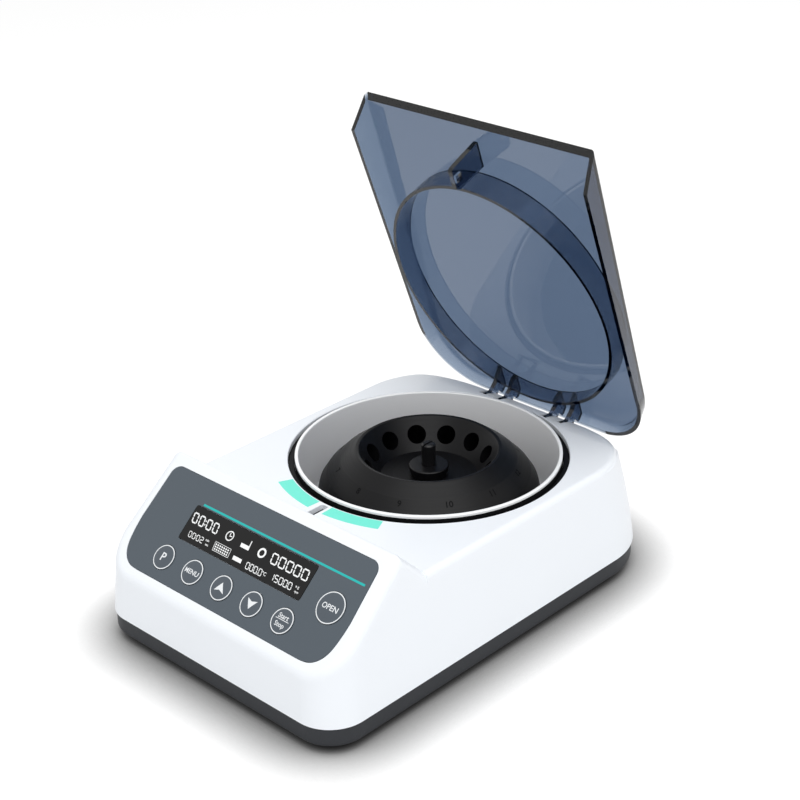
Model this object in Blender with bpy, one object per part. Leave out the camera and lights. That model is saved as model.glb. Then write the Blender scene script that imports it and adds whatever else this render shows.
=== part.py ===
"""Mini centrifuge for small tubes, lid open.

Built in metres with +Z up and the front towards -Y.  The rotor turns on a
vertical axis; the lid swings on a hinge line behind the rotor chamber.
"""
import math

import bmesh
import bpy
from mathutils import Vector

# Whole machine
AXIS_Y = 0.03171
FOOT_HEIGHT = 0.0040
CLEARANCE = 0.0003
WELD = 0.000001
SHARP_ANGLE = math.radians(32)
QUARTER_TURN = math.radians(90)
FULL_TURN = math.radians(360)
ROUND_SEGMENTS = 44
KEY_SEGMENTS = 20
CHAMBER_SEGMENTS = 64
BORE_SEGMENTS = 20
SMALL_SEGMENTS = 16
OVERSHOOT = 0.0200

# Tube bores, from which rotor, chamber and housing take their size
TUBE_COUNT = 12
TUBE_PHASE = math.radians(-5.1)
TUBE_RADIUS = 0.0055
TUBE_ANGLE = math.radians(45)
TUBE_MOUTH_RADIUS = 0.0334
TUBE_DEPTH = 0.0320
TUBE_LEAD = 0.0140
ROTOR_RIM_WALL = 0.00328
ROTOR_BASE_WALL = 0.00698
ROTOR_BROW = 0.0090
TUBE_REACH = TUBE_DEPTH * math.sin(TUBE_ANGLE) + TUBE_RADIUS * math.cos(TUBE_ANGLE)
TUBE_DROP = TUBE_DEPTH * math.cos(TUBE_ANGLE) + TUBE_RADIUS * math.sin(TUBE_ANGLE)
ROTOR_RADIUS = TUBE_MOUTH_RADIUS + TUBE_REACH + ROTOR_RIM_WALL
ROTOR_HEIGHT = ROTOR_BASE_WALL + TUBE_DROP + ROTOR_BROW

# Rings round the rotor, outwards
CHAMBER_GAP = 0.0103
BOWL_WALL = 0.00206
GASKET_GROOVE = 0.00394
BOWL_INNER_RADIUS = ROTOR_RADIUS + CHAMBER_GAP
BOWL_OUTER_RADIUS = BOWL_INNER_RADIUS + BOWL_WALL
DECK_HOLE_RADIUS = BOWL_OUTER_RADIUS + GASKET_GROOVE

# Top of the housing, front to back
DECK_HEIGHT = 0.0713
LIP_RISE = 0.0163
LIP_HEIGHT = DECK_HEIGHT + LIP_RISE
RAMP_SPACE = 0.0157
RAMP_FOOT_Y = -DECK_HOLE_RADIUS - RAMP_SPACE
PANEL_TILT = math.radians(41.71)
PANEL_FROM_RAMP = 0.04511
PANEL_DROP = 0.00777
PANEL_Y = RAMP_FOOT_Y - PANEL_FROM_RAMP
PANEL_Z = DECK_HEIGHT - PANEL_DROP
KINK_RADIUS = 0.0014
KINK_STEPS = 2
PANEL_FRONT_FILLET = 0.0022
PANEL_FILLET = 0.0058
DECK_FILLET = 0.0034
REAR_FILLET = 0.0078
FILLET_STEPS = 4
WALL_LEVEL_shares = (0.0, 0.25, 0.5, 0.75, 1.0)

# Outline of the housing in plan
BORDER_HEIGHT = 0.01187
DECK_SIDE = 0.0119
BORDER_HALF_WIDTH = DECK_HOLE_RADIUS + DECK_SIDE
PANEL_FOREGROUND = 0.02919
BORDER_FRONT = PANEL_Y - PANEL_FOREGROUND
DECK_BEHIND = 0.0245
BORDER_REAR = DECK_HOLE_RADIUS + DECK_BEHIND
SIDE_DRAFT_slope = 0.0752
FRONT_LEAN = 0.0021
FRONT_LEAN_HEIGHT = 0.0281
FRONT_CORNER_RADIUS = 0.0220
REAR_LEAN = 0.0110
REAR_LEAN_POWER = 1.5
REAR_CORNER_RADIUS = 0.0470
REAR_CORNER_GROWTH = 0.0030
FRONT_CORNER_STEPS = 6
REAR_CORNER_STEPS = 10
SLOPE_LENGTH = 0.0210
SLOPE_DROP = 0.0053
SLOPE_POWER = 1.6
SLOPE_STEPS = 8
SLOPE_START_Y = BORDER_REAR - REAR_LEAN - SLOPE_LENGTH
DECK_STATION_shares = (0.33, 0.69, 0.95)

# Walls of the housing
WALL = 0.0030
PANEL_WALL = 0.0036
LIP_WALL = 0.0052
INNER_FILLET = 0.0008

# Hinge line and the pockets for the lid's ears
HINGE_FROM_REAR = 0.0176
HINGE_DROP = 0.0077
HINGE_Y = BORDER_REAR - HINGE_FROM_REAR
HINGE_Z = DECK_HEIGHT - HINGE_DROP
PIN_RADIUS = 0.0020
PIN_HOLE_GAP = 0.0002
HINGE_POCKET_INNER_X = 0.0154
HINGE_POCKET_OUTER_X = 0.0316
HINGE_POCKET_REACH = 0.0075
HINGE_POCKET_DEPTH = 0.0051
BRACKET_INNER_X = 0.0196
BRACKET_OUTER_X = 0.0274
BRACKET_FRONT_REACH = 0.0059
BRACKET_REAR_REACH = 0.0058
BRACKET_SHOULDER_DROP = 0.0011
BRACKET_TOP_DROP = 0.0004

# Latch: slot in the deck, block and bolt under it
LATCH_SPACE = 0.0095
BOLT_Y = -DECK_HOLE_RADIUS - LATCH_SPACE
BOLT_DROP = 0.0060
BOLT_Z = DECK_HEIGHT - BOLT_DROP
BOLT_RADIUS = 0.0017
LATCH_SLOT_HALF_WIDTH = 0.0024
LATCH_SLOT_FRONT_REACH = 0.0090
LATCH_SLOT_REAR_REACH = 0.0078
LATCH_HALF_WIDTH = 0.0140
LATCH_FRONT_REACH = 0.0150
LATCH_REAR_REACH = 0.0072
LATCH_HEIGHT = 0.0193
LATCH_SLOT_GAP = 0.0012
LATCH_SLOT_DEPTH = 0.0123
LATCH_BORE_DEPTH = 0.0060
BOLT_TIP_X = 0.0034
BOLT_TRAVEL = 0.0070
BOLT_HEAD_RADIUS = 0.0030
BOLT_HEAD_LENGTH = 0.0012

# Base tray and feet
TRAY_STEP = 0.0008
TRAY_FLOOR = 0.0030
TRAY_WALL = 0.0032
TRAY_EDGE_RADIUS = 0.0030
TRAY_INNER_RADIUS = 0.0015
FOOT_RADIUS = 0.0080
FOOT_RECESS = 0.0010
FOOT_SIDE_INSET = 0.0214
FOOT_FRONT_INSET = 0.0295
FOOT_REAR_INSET = 0.0440
FOOT_EDGE_RADIUS = 0.0010
VENT_COUNT = 7
VENT_PITCH = 0.0090
VENT_HALF_WIDTH = 0.0015
VENT_HALF_LENGTH = 0.0160
VENT_FROM_RAMP = 0.0232

# Control panel, measured in its own tilted plane
POCKET_DEPTH = 0.0017
PLATE_SIDE_INSET = 0.0134
PLATE_HALF_WIDTH = BORDER_HALF_WIDTH - PLATE_SIDE_INSET
PLATE_TOP = 0.0301
PLATE_TOP_RADIUS = 0.0060
PLATE_FOOT_share = 0.796
PLATE_LOWER_CORNER_shares = ((0.8846, -0.970), (0.9385, -0.890))
PLATE_SIDE_shares = ((0.990, -0.708), (1.009, -0.472), (1.0205, -0.100))
DISPLAY_X = -0.0020
DISPLAY_S = 0.0052
DISPLAY_HALF_LENGTH = 0.04655
DISPLAY_HALF_HEIGHT = 0.01005
DISPLAY_LEDGE = 0.0028
DISPLAY_CORNER_RADIUS = 0.0016
MODULE_RIM = 0.0020
MODULE_THICKNESS = 0.0050
BOARD_THICKNESS = 0.0016
BOARD_INSET = 0.0030
BOARD_S = -0.0020
KEY_PITCH = 0.02295
KEY_MIDDLE_X = -0.0037
KEY_S = -0.0176
KEY_RADIUS = 0.0070
OPEN_KEY_INSET = 0.0135
OPEN_KEY_S = -0.0006
OPEN_KEY_RADIUS = 0.00865
KEY_TRAVEL = 0.0010
KEY_RIM = 0.0004
KEY_DOME = 0.0006
KEY_CAP_DEPTH = 0.0006
KEY_STEM_RADIUS = 0.0024
KEY_STEM_DEPTH = 0.0061
KEY_SWITCH_HALF_WIDTH = 0.0030

# Heights of chamber and gasket, from the deck down
BOWL_RIM_RISE = 0.0020
BOWL_RIM_HEIGHT = DECK_HEIGHT + BOWL_RIM_RISE
BOWL_RIM_ROUND = 0.0006
CHAMBER_DEPTH = 0.0433
BOWL_FLOOR = DECK_HEIGHT - CHAMBER_DEPTH
BOWL_FLOOR_THICKNESS = 0.0020
BOWL_KNEE = 0.0075
BOWL_SHAFT_HOLE_RADIUS = 0.0120
GASKET_DROP = 0.0028
GASKET_TOP = DECK_HEIGHT - GASKET_DROP
GASKET_HEIGHT = 0.0025
FLANGE_SEAT = GASKET_TOP - GASKET_HEIGHT
FLANGE_THICKNESS = 0.0020
FLANGE_LOW = FLANGE_SEAT - FLANGE_THICKNESS
FLANGE_LIP = 0.0006
FLANGE_WALL = 0.0010

# Drive
MOTOR_RADIUS = 0.0450
MOTOR_CAP_STEP = 0.0060
MOTOR_CAP_HEIGHT = 0.0030
MOUNT_RADIUS = 0.0060
MOUNT_INSET = 0.0130
MOUNT_HEIGHT = 0.0050
MOTOR_FOOT = TRAY_FLOOR + CLEARANCE + MOUNT_HEIGHT + CLEARANCE
MOTOR_BASE_WALL = 0.0014
SHAFT_RADIUS = 0.0040
SHAFT_FOOT = MOTOR_FOOT + MOTOR_BASE_WALL + CLEARANCE
SHAFT_COLLAR_RADIUS = 0.0080
SHAFT_COLLAR_RISE = 0.0012
SHAFT_REACH = 0.0194
SHAFT_SLOT_HALF_WIDTH = 0.0006
SHAFT_SLOT_DEPTH = 0.0015
BEARING_GAP = 0.0004

# Rotor outline as shares of its radius and height
ROTOR_LIFT = 0.0045
ROTOR_FOOT = BOWL_FLOOR + ROTOR_LIFT
ROTOR_HUB_RISE = 0.0018
ROTOR_HUB_FOOT = ROTOR_FOOT + ROTOR_HUB_RISE
ROTOR_HUB_RADIUS = 0.0140
ROTOR_OUTLINE_shares = (
    (0.301, 0.111),
    (0.728, 0.087),
    (0.839, 0.0),
    (0.965, 0.0),
    (1.0, 0.047),
    (1.0, 0.412),
    (0.981, 0.518),
    (0.918, 0.659),
    (0.791, 0.847),
    (0.652, 1.0),
    (0.625, 0.993),
)
ROTOR_FLOOR_shares = (0.435, 0.6)
ROTOR_FLOOR = ROTOR_FOOT + ROTOR_HEIGHT * ROTOR_FLOOR_shares[1]
NUT_RADIUS = 0.0115
NUT_HEIGHT = 0.0063
NUT_EDGE = 0.0010

# Lid, measured closed
LID_OPEN_ANGLE = math.radians(69)
LID_RISE = 0.0166
LID_TOP = DECK_HEIGHT + LID_RISE
LID_TOP_FALL = math.radians(2.1)
LID_PLATE = 0.0030
LID_SKIRT = 0.0025
LID_SKIRT_LIFT = 0.0010
LID_SKIRT_FOOT = DECK_HEIGHT + LID_SKIRT_LIFT
LID_SIDE_INSET = 0.0097
LID_HALF_WIDTH = BORDER_HALF_WIDTH - LID_SIDE_INSET
LID_FOOT_FLARE = 0.0025
LID_BEHIND_HINGE = 0.0032
LID_REAR = HINGE_Y + LID_BEHIND_HINGE
LID_REAR_RADIUS = 0.0370
LID_REAR_RISE = 0.0018
LID_REAR_RISE_LENGTH = 0.0396
LID_FRONT_STOCK = 0.0062
LID_FRONT = RAMP_FOOT_Y - LID_RISE - LID_FRONT_STOCK
LID_FRONT_GAP = 0.0010
LID_EDGE_RADIUS = 0.0026
LID_INNER_RADIUS = 0.0006
LID_STATION_shares = (0.1, 0.4, 0.7)
LID_REAR_STEPS = 9
LID_RING_INSET = 0.0015
LID_RING_OUTER_RADIUS = DECK_HOLE_RADIUS - LID_RING_INSET
LID_RING_WALL = 0.0020
LID_RING_EMBED = 0.0012
HOOK_HALF_THICKNESS = 0.0015
HOOK_ROOT_FRONT_REACH = 0.0097
HOOK_ROOT_REAR_REACH = 0.0062
HOOK_TIP_FRONT_REACH = 0.0075
HOOK_TIP_REAR_REACH = 0.0068
HOOK_DROP = 0.0099
HOOK_TIP_CHAMFER = 0.0015
HOOK_WINDOW_HALF = 0.0023
EAR_THICKNESS = 0.0030
EAR_INNER_X = 0.0175
EAR_OUTER_X = 0.0295
EAR_BOSS_RADIUS = 0.0045
EAR_FRONT = ((-0.0066, -0.0020), (-0.0050, 0.0006), (-0.0045, 0.0028), (-0.0070, 0.0080), (-0.0112, 0.0125))
EAR_REAR = ((0.0026, 0.0095), (-0.0009, 0.0077))
EAR_BOSS_START = math.radians(205)
EAR_BOSS_END = math.radians(404)
EAR_BOSS_STEPS = 8

# Mains inlet and switch on the back
BACK_Z = 0.0270
BACK_FLANGE_THICKNESS = 0.0016
INLET_X = 0.0
INLET_HALF = (0.0134, 0.0096)
INLET_FLANGE_HALF = (0.0155, 0.0120)
INLET_DEPTH = 0.0200
INLET_RECESS_HALF = (0.0121, 0.0083)
INLET_RECESS_DEPTH = 0.0140
INLET_PIN_HALF = (0.0010, 0.0020)
INLET_PIN_LENGTH = 0.0115
INLET_PIN_SPACING = 0.0070
INLET_PIN_RISE = 0.0020
SWITCH_X = 0.0360
SWITCH_HALF = (0.0063, 0.0093)
SWITCH_FLANGE_HALF = (0.0078, 0.0108)
SWITCH_DEPTH = 0.0140
SWITCH_RECESS_HALF = (0.0052, 0.0082)
SWITCH_RECESS_DEPTH = 0.0062
ROCKER_PIVOT_DEPTH = 0.0025
ROCKER_REST_ANGLE = math.radians(8)
ROCKER_HALF_LENGTH = 0.0072
ROCKER_TIP = 0.0026
ROCKER_WAIST = 0.0016
ROCKER_HEEL = 0.0002

# Drive board on the tray floor
DRIVE_HALF_LENGTH = 0.0550
DRIVE_FRONT_INSET = 0.0135
DRIVE_WIDTH = 0.0510
DRIVE_FRONT = BORDER_FRONT + DRIVE_FRONT_INSET
DRIVE_REAR = DRIVE_FRONT + DRIVE_WIDTH
BOSS_HEIGHT = 0.0030
BOSS_RADIUS = 0.0040
BOSS_INSET = 0.0060
CAPACITOR_RADIUS = 0.0080
CAPACITOR_HEIGHT = 0.0220
CAPACITOR_XS = (-0.0360, -0.0160)
HEATSINK_HALF = (0.0140, 0.0050)
HEATSINK_X = 0.0280
HEATSINK_HEIGHT = 0.0180


# Looks

def material(name, colour, roughness, metallic=0.0, alpha=1.0):
    look = bpy.data.materials.new(name)
    look.use_nodes = True
    shader = look.node_tree.nodes["Principled BSDF"]
    shader.inputs["Base Color"].default_value = (*colour, 1.0)
    shader.inputs["Roughness"].default_value = roughness
    shader.inputs["Metallic"].default_value = metallic
    shader.inputs["Alpha"].default_value = alpha
    look.diffuse_color = (*colour, alpha)
    return look


# Building

def clear_scene():
    for thing in list(bpy.data.objects):
        bpy.data.objects.remove(thing, do_unlink=True)


def empty(name, place, turn=(0, 0, 0), parent=None):
    frame = bpy.data.objects.new(name, None)
    bpy.context.collection.objects.link(frame)
    frame.location = place
    frame.rotation_euler = turn
    frame.parent = parent
    return frame


def finish(name, shape, look, parent, place=(0, 0, 0), turn=(0, 0, 0)):
    """Turn a bmesh into a placed object with its own material."""
    bmesh.ops.remove_doubles(shape, verts=shape.verts, dist=WELD)
    bmesh.ops.recalc_face_normals(shape, faces=shape.faces)
    mesh = bpy.data.meshes.new(name)
    shape.to_mesh(mesh)
    shape.free()
    mesh.shade_smooth()
    mesh.set_sharp_from_angle(angle=SHARP_ANGLE)
    piece = bpy.data.objects.new(name, mesh)
    bpy.context.collection.objects.link(piece)
    piece.parent = parent
    piece.location = place
    piece.rotation_euler = turn
    if look is not None:
        mesh.materials.append(look)
    return piece


def carve(target, tool, operation="DIFFERENCE"):
    """Cut a hidden tool from a piece, or join it on."""
    tool.hide_render = True
    tool.display_type = "WIRE"
    step = target.modifiers.new(tool.name, "BOOLEAN")
    step.solver = "EXACT"
    step.operation = operation
    step.object = tool


def lathe(profile, segments=ROUND_SEGMENTS):
    """Spin a closed outline of (radius, height) points about Z."""
    shape = bmesh.new()
    corners = [shape.verts.new((radius, 0, height)) for radius, height in profile]
    edges = []
    for index, corner in enumerate(corners):
        edges.append(shape.edges.new((corner, corners[(index + 1) % len(corners)])))
    bmesh.ops.spin(
        shape, geom=corners + edges, cent=(0, 0, 0), axis=(0, 0, 1),
        angle=FULL_TURN, steps=segments, use_merge=True,
    )
    bmesh.ops.remove_doubles(shape, verts=shape.verts, dist=WELD)
    bmesh.ops.dissolve_degenerate(shape, edges=shape.edges, dist=WELD)
    loose = [edge for edge in shape.edges if not edge.link_faces]
    bmesh.ops.delete(shape, geom=loose, context="EDGES")
    return shape


def prism(outline, low, high, axis="Z"):
    """Extrude a flat outline of two-value points along one axis."""
    shape = bmesh.new()
    add_prism(shape, outline, low, high, axis)
    return shape


def add_prism(shape, outline, low, high, axis="Z"):
    if axis == "X":
        corners = [(low, first, second) for first, second in outline]
        step = Vector((high - low, 0, 0))
    elif axis == "Y":
        corners = [(first, low, second) for first, second in outline]
        step = Vector((0, high - low, 0))
    else:
        corners = [(first, second, low) for first, second in outline]
        step = Vector((0, 0, high - low))
    face = shape.faces.new([shape.verts.new(corner) for corner in corners])
    grown = bmesh.ops.extrude_face_region(shape, geom=[face], use_keep_orig=True)
    moved = [item for item in grown["geom"] if isinstance(item, bmesh.types.BMVert)]
    bmesh.ops.translate(shape, verts=moved, vec=step)


def rectangle(half_width, half_height, centre=(0, 0)):
    return [
        (centre[0] - half_width, centre[1] - half_height),
        (centre[0] + half_width, centre[1] - half_height),
        (centre[0] + half_width, centre[1] + half_height),
        (centre[0] - half_width, centre[1] + half_height),
    ]


def span(low_x, high_x, low_y, high_y):
    return [(low_x, low_y), (high_x, low_y), (high_x, high_y), (low_x, high_y)]


def circle(radius, segments, centre=(0, 0), start=0.0):
    points = []
    for index in range(segments):
        angle = start + FULL_TURN * index / segments
        points.append((centre[0] + radius * math.cos(angle), centre[1] + radius * math.sin(angle)))
    return points


def round_corner(before, corner, after, radius, steps):
    """Arc points that replace one corner of an outline."""
    here = Vector(corner)
    inward = (Vector(before) - here).normalized()
    onward = (Vector(after) - here).normalized()
    half = inward.angle(onward) / 2
    middle = here + (inward + onward).normalized() * radius / math.sin(half)
    first = here + inward * radius / math.tan(half) - middle
    last = here + onward * radius / math.tan(half) - middle
    points = []
    for index in range(steps + 1):
        share = index / steps
        points.append(tuple(middle + first.slerp(last, share).normalized() * radius))
    return points


def rounded_path(points, radius, steps):
    """An open path with every inner corner rounded alike."""
    path = [points[0]]
    for before, corner, after in zip(points, points[1:], points[2:]):
        path.extend(round_corner(before, corner, after, radius, steps))
    path.append(points[-1])
    return path


def rounded_rectangle(half_width, half_height, radius, steps, centre=(0, 0)):
    corners = rectangle(half_width, half_height, centre)
    outline = []
    for index, corner in enumerate(corners):
        after = corners[(index + 1) % len(corners)]
        outline.extend(round_corner(corners[index - 1], corner, after, radius, steps))
    return outline


def height_on(path, y):
    """Height of a (y, z) path above a point, straight between its points."""
    if y <= path[0][0]:
        first, second = path[0], path[1]
    else:
        first, second = path[-2], path[-1]
        for start, end in zip(path, path[1:]):
            if start[0] <= y <= end[0]:
                first, second = start, end
                break
    rise = (second[1] - first[1]) / (second[0] - first[0])
    return first[1] + rise * (y - first[0])


def shell(outer, inner):
    """Close a cap from rings of right-hand points, rim first, crown last.

    Each ring is mirrored to the left, neighbouring rings are joined by
    quads, the crown is closed by strips across and the rims are joined.
    """
    shape = bmesh.new()
    rims = []
    for rings in (outer, inner):
        loops = []
        for ring in rings:
            right = [shape.verts.new(point) for point in ring]
            left = [shape.verts.new((-x, y, z)) for x, y, z in reversed(ring)]
            loops.append(right + left)
        for low, high in zip(loops, loops[1:]):
            join_loops(shape, low, high)
        crown = loops[-1]
        half = len(crown) // 2
        for index in range(half - 1):
            shape.faces.new((crown[index], crown[index + 1], crown[-index - 2], crown[-index - 1]))
        rims.append(loops[0])
    join_loops(shape, rims[0], rims[1])
    return shape


def join_loops(shape, low, high):
    count = len(low)
    for index in range(count):
        after = (index + 1) % count
        shape.faces.new((low[index], low[after], high[after], high[index]))


# Housing cover

def plan_at(height):
    """Half width, front, rear and rear corner radius at a height."""
    rise = height - BORDER_HEIGHT
    climb = min(max(rise / (DECK_HEIGHT - BORDER_HEIGHT), 0), 1)
    lean = min(max(rise / FRONT_LEAN_HEIGHT, 0), 1)
    half_width = BORDER_HALF_WIDTH - SIDE_DRAFT_slope * rise
    front = BORDER_FRONT + FRONT_LEAN * lean
    rear = BORDER_REAR - REAR_LEAN * climb ** REAR_LEAN_POWER
    rear_radius = REAR_CORNER_RADIUS + REAR_CORNER_GROWTH * climb
    return half_width, front, rear, rear_radius


def body_stations(side_ys):
    """Places round the right half of the outline, front to rear."""
    stations = []
    for index in range(FRONT_CORNER_STEPS + 1):
        stations.append(("front", -QUARTER_TURN + QUARTER_TURN * index / FRONT_CORNER_STEPS))
    stations.extend(("side", y) for y in side_ys)
    for index in range(REAR_CORNER_STEPS + 1):
        stations.append(("rear", QUARTER_TURN * index / REAR_CORNER_STEPS))
    return stations


def deck_station_ys():
    """Places along the deck, between the ramp and the rear corner."""
    reach = BORDER_REAR - REAR_LEAN - REAR_CORNER_RADIUS - REAR_CORNER_GROWTH - RAMP_FOOT_Y
    return [RAMP_FOOT_Y + reach * share for share in DECK_STATION_shares]


def body_point(station, height, inset):
    kind, value = station
    half_width, front, rear, rear_radius = plan_at(height)
    if kind == "side":
        return half_width - inset, value
    if kind == "front":
        radius, middle_y = FRONT_CORNER_RADIUS, front + FRONT_CORNER_RADIUS
    else:
        radius, middle_y = rear_radius, rear - rear_radius
    reach = radius - inset
    middle_x = half_width - radius
    return middle_x + reach * math.cos(value), middle_y + reach * math.sin(value)


def panel_height(y):
    return PANEL_Z + (y - PANEL_Y) * math.tan(PANEL_TILT)


def top_path(panel_drop, lip_drop, ramp_drop, deck_drop):
    """Side view of the top: panel, lip, ramp, deck and rear slope."""
    lip = LIP_HEIGHT - lip_drop
    deck = DECK_HEIGHT - deck_drop
    lip_front = PANEL_Y + (lip + panel_drop - PANEL_Z) / math.tan(PANEL_TILT)
    lip_rear = RAMP_FOOT_Y - (lip + ramp_drop - DECK_HEIGHT)
    ramp_foot = RAMP_FOOT_Y - (deck + ramp_drop - DECK_HEIGHT)
    corners = [
        (BORDER_FRONT, panel_height(BORDER_FRONT) - panel_drop),
        (lip_front, lip),
        (lip_rear, lip),
        (ramp_foot, deck),
        (SLOPE_START_Y, deck),
    ]
    path = rounded_path(corners, KINK_RADIUS, KINK_STEPS)
    for index in range(1, SLOPE_STEPS + 1):
        share = index / SLOPE_STEPS
        path.append((SLOPE_START_Y + SLOPE_LENGTH * share, deck - SLOPE_DROP * share ** SLOPE_POWER))
    return path


def fillet_at(y):
    """Edge rounding: crisp in front, wide beside the panel, crisp by the deck, wide behind."""
    if y < RAMP_FOOT_Y:
        front_share = min(max((y - BORDER_FRONT - FRONT_LEAN) / FRONT_CORNER_RADIUS, 0), 1)
        return PANEL_FRONT_FILLET + (PANEL_FILLET - PANEL_FRONT_FILLET) * front_share
    rear_share = min(max((y - SLOPE_START_Y) / SLOPE_LENGTH, 0), 1)
    return DECK_FILLET + (REAR_FILLET - DECK_FILLET) * rear_share


def body_top(station, path, inset):
    """Height of the top over a station, settled against the draft."""
    height = DECK_HEIGHT
    for _ in range(6):
        height = height_on(path, body_point(station, height, inset)[1])
    return height


def body_rings(path, inset, fillet):
    """Rings up the wall and over the rounded edge, for one skin."""
    front_end = BORDER_FRONT + FRONT_LEAN + FRONT_CORNER_RADIUS
    kink_ys = [y for y, _ in path if front_end < y < SLOPE_START_Y]
    stations = body_stations([(front_end + kink_ys[0]) / 2, *kink_ys[:-1], *deck_station_ys()])
    tops = [body_top(station, path, inset) for station in stations]
    edges = [fillet(body_point(station, top, inset)[1]) for station, top in zip(stations, tops)]
    rings = []
    for share in WALL_LEVEL_shares:
        ring = []
        for station, top, edge in zip(stations, tops, edges):
            height = BORDER_HEIGHT + (top - edge - BORDER_HEIGHT) * share
            ring.append((*body_point(station, height, inset), height))
        rings.append(ring)
    for index in range(1, FILLET_STEPS + 1):
        angle = QUARTER_TURN * index / FILLET_STEPS
        ring = []
        for station, top, edge in zip(stations, tops, edges):
            x, y = body_point(station, top, inset + edge * (1 - math.cos(angle)))
            ring.append((x, y, height_on(path, y) - edge * (1 - math.sin(angle))))
        rings.append(ring)
    return rings


def housing_cover(root, panel, back, look):
    """Moulded cover lofted in one skin, 3 mm thick, open below."""
    outside = body_rings(top_path(0, 0, 0, 0), 0, fillet_at)
    panel_drop = PANEL_WALL / math.cos(PANEL_TILT)
    ramp_drop = WALL * math.sqrt(2)
    inside = body_rings(
        top_path(panel_drop, LIP_WALL, ramp_drop, WALL), WALL, lambda y: INNER_FILLET,
    )
    cover = finish("housing_cover", shell(outside, inside), look, root)
    carve(cover, deck_hole_tool(root))
    carve(cover, latch_slot_tool(root))
    for side in (-1, 1):
        carve(cover, hinge_pocket_tool(root, side))
    for tool in panel_tools(panel):
        carve(cover, tool)
    for tool in back_tools(back):
        carve(cover, tool)
    return cover


def deck_hole_tool(root):
    shape = prism(circle(DECK_HOLE_RADIUS, CHAMBER_SEGMENTS), FLANGE_LOW, LIP_HEIGHT)
    return finish("tool_deck_hole", shape, None, root)


def latch_slot_tool(root):
    outline = span(
        -LATCH_SLOT_HALF_WIDTH, LATCH_SLOT_HALF_WIDTH,
        BOLT_Y - LATCH_SLOT_FRONT_REACH, BOLT_Y + LATCH_SLOT_REAR_REACH,
    )
    return finish("tool_latch_slot", prism(outline, FLANGE_LOW, LIP_HEIGHT), None, root)


def hinge_pocket_tool(root, side):
    near, far = sorted((side * HINGE_POCKET_INNER_X, side * HINGE_POCKET_OUTER_X))
    outline = span(near, far, HINGE_Y - HINGE_POCKET_REACH, BORDER_REAR + OVERSHOOT)
    name = "tool_hinge_pocket_right" if side > 0 else "tool_hinge_pocket_left"
    return finish(name, prism(outline, HINGE_Z - HINGE_POCKET_DEPTH, LIP_HEIGHT), None, root)


def plate_outline(grow):
    """Right half of the plate from its foot to its top, then mirrored."""
    right = [(PLATE_HALF_WIDTH * PLATE_FOOT_share + grow / 2, -PLATE_TOP - grow)]
    for across, along in PLATE_LOWER_CORNER_shares:
        corner_grow = grow * math.sqrt(0.5)
        right.append((PLATE_HALF_WIDTH * across + corner_grow, PLATE_TOP * along - corner_grow))
    for across, along in PLATE_SIDE_shares:
        right.append((PLATE_HALF_WIDTH * across + grow, PLATE_TOP * along))
    top = (PLATE_HALF_WIDTH + grow, PLATE_TOP + grow)
    right.extend(round_corner(right[-1], top, (0, top[1]), PLATE_TOP_RADIUS + grow, 4))
    return right + [(-x, s) for x, s in reversed(right)]


def key_places():
    """Name, centre and radius of every key."""
    names = ("key_program", "key_menu", "key_up", "key_down", "key_start_stop")
    places = []
    for index, name in enumerate(names):
        x = KEY_MIDDLE_X + KEY_PITCH * (index - (len(names) - 1) / 2)
        places.append((name, (x, KEY_S), KEY_RADIUS))
    open_key_x = PLATE_HALF_WIDTH - OPEN_KEY_INSET
    places.append(("key_open", (open_key_x, OPEN_KEY_S), OPEN_KEY_RADIUS))
    return places


def panel_tools(panel):
    pocket = prism(plate_outline(CLEARANCE), -POCKET_DEPTH, OVERSHOOT)
    window = prism(
        rectangle(
            DISPLAY_HALF_LENGTH - DISPLAY_LEDGE, DISPLAY_HALF_HEIGHT - DISPLAY_LEDGE,
            (DISPLAY_X, DISPLAY_S),
        ),
        -OVERSHOOT, OVERSHOOT,
    )
    stems = bmesh.new()
    for _, centre, _ in key_places():
        add_prism(
            stems, circle(KEY_STEM_RADIUS + CLEARANCE, SMALL_SEGMENTS, centre), -OVERSHOOT, OVERSHOOT,
        )
    return (
        finish("tool_panel_pocket", pocket, None, panel),
        finish("tool_panel_window", window, None, panel),
        finish("tool_key_stems", stems, None, panel),
    )


def back_tools(back):
    inlet = prism(
        rectangle(INLET_HALF[0] + CLEARANCE, INLET_HALF[1] + CLEARANCE, (INLET_X, 0)),
        -OVERSHOOT, OVERSHOOT, "Y",
    )
    switch = prism(
        rectangle(SWITCH_HALF[0] + CLEARANCE, SWITCH_HALF[1] + CLEARANCE, (SWITCH_X, 0)),
        -OVERSHOOT, OVERSHOOT, "Y",
    )
    return finish("tool_inlet", inlet, None, back), finish("tool_switch", switch, None, back)


# Base tray and feet

def tray_rings(inset, foot, edge):
    """Rings from the tray rim down and round its lower edge."""
    stations = body_stations([PANEL_Y, *deck_station_ys()])
    rim = BORDER_HEIGHT - CLEARANCE
    rings = []
    for height in (rim, foot + edge):
        rings.append([(*body_point(station, BORDER_HEIGHT, inset), height) for station in stations])
    for index in range(1, FILLET_STEPS + 1):
        angle = QUARTER_TURN * index / FILLET_STEPS
        extra = edge * (1 - math.cos(angle))
        height = foot + edge * (1 - math.sin(angle))
        rings.append([(*body_point(station, BORDER_HEIGHT, inset + extra), height) for station in stations])
    return rings


def foot_places():
    across = BORDER_HALF_WIDTH - FOOT_SIDE_INSET
    rows = (BORDER_FRONT + FOOT_FRONT_INSET, BORDER_REAR - FOOT_REAR_INSET)
    return [(side * across, y) for y in rows for side in (-1, 1)]


def boss_places():
    across = DRIVE_HALF_LENGTH - BOSS_INSET
    rows = (DRIVE_FRONT + BOSS_INSET, DRIVE_REAR - BOSS_INSET)
    return [(side * across, y) for y in rows for side in (-1, 1)]


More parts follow.
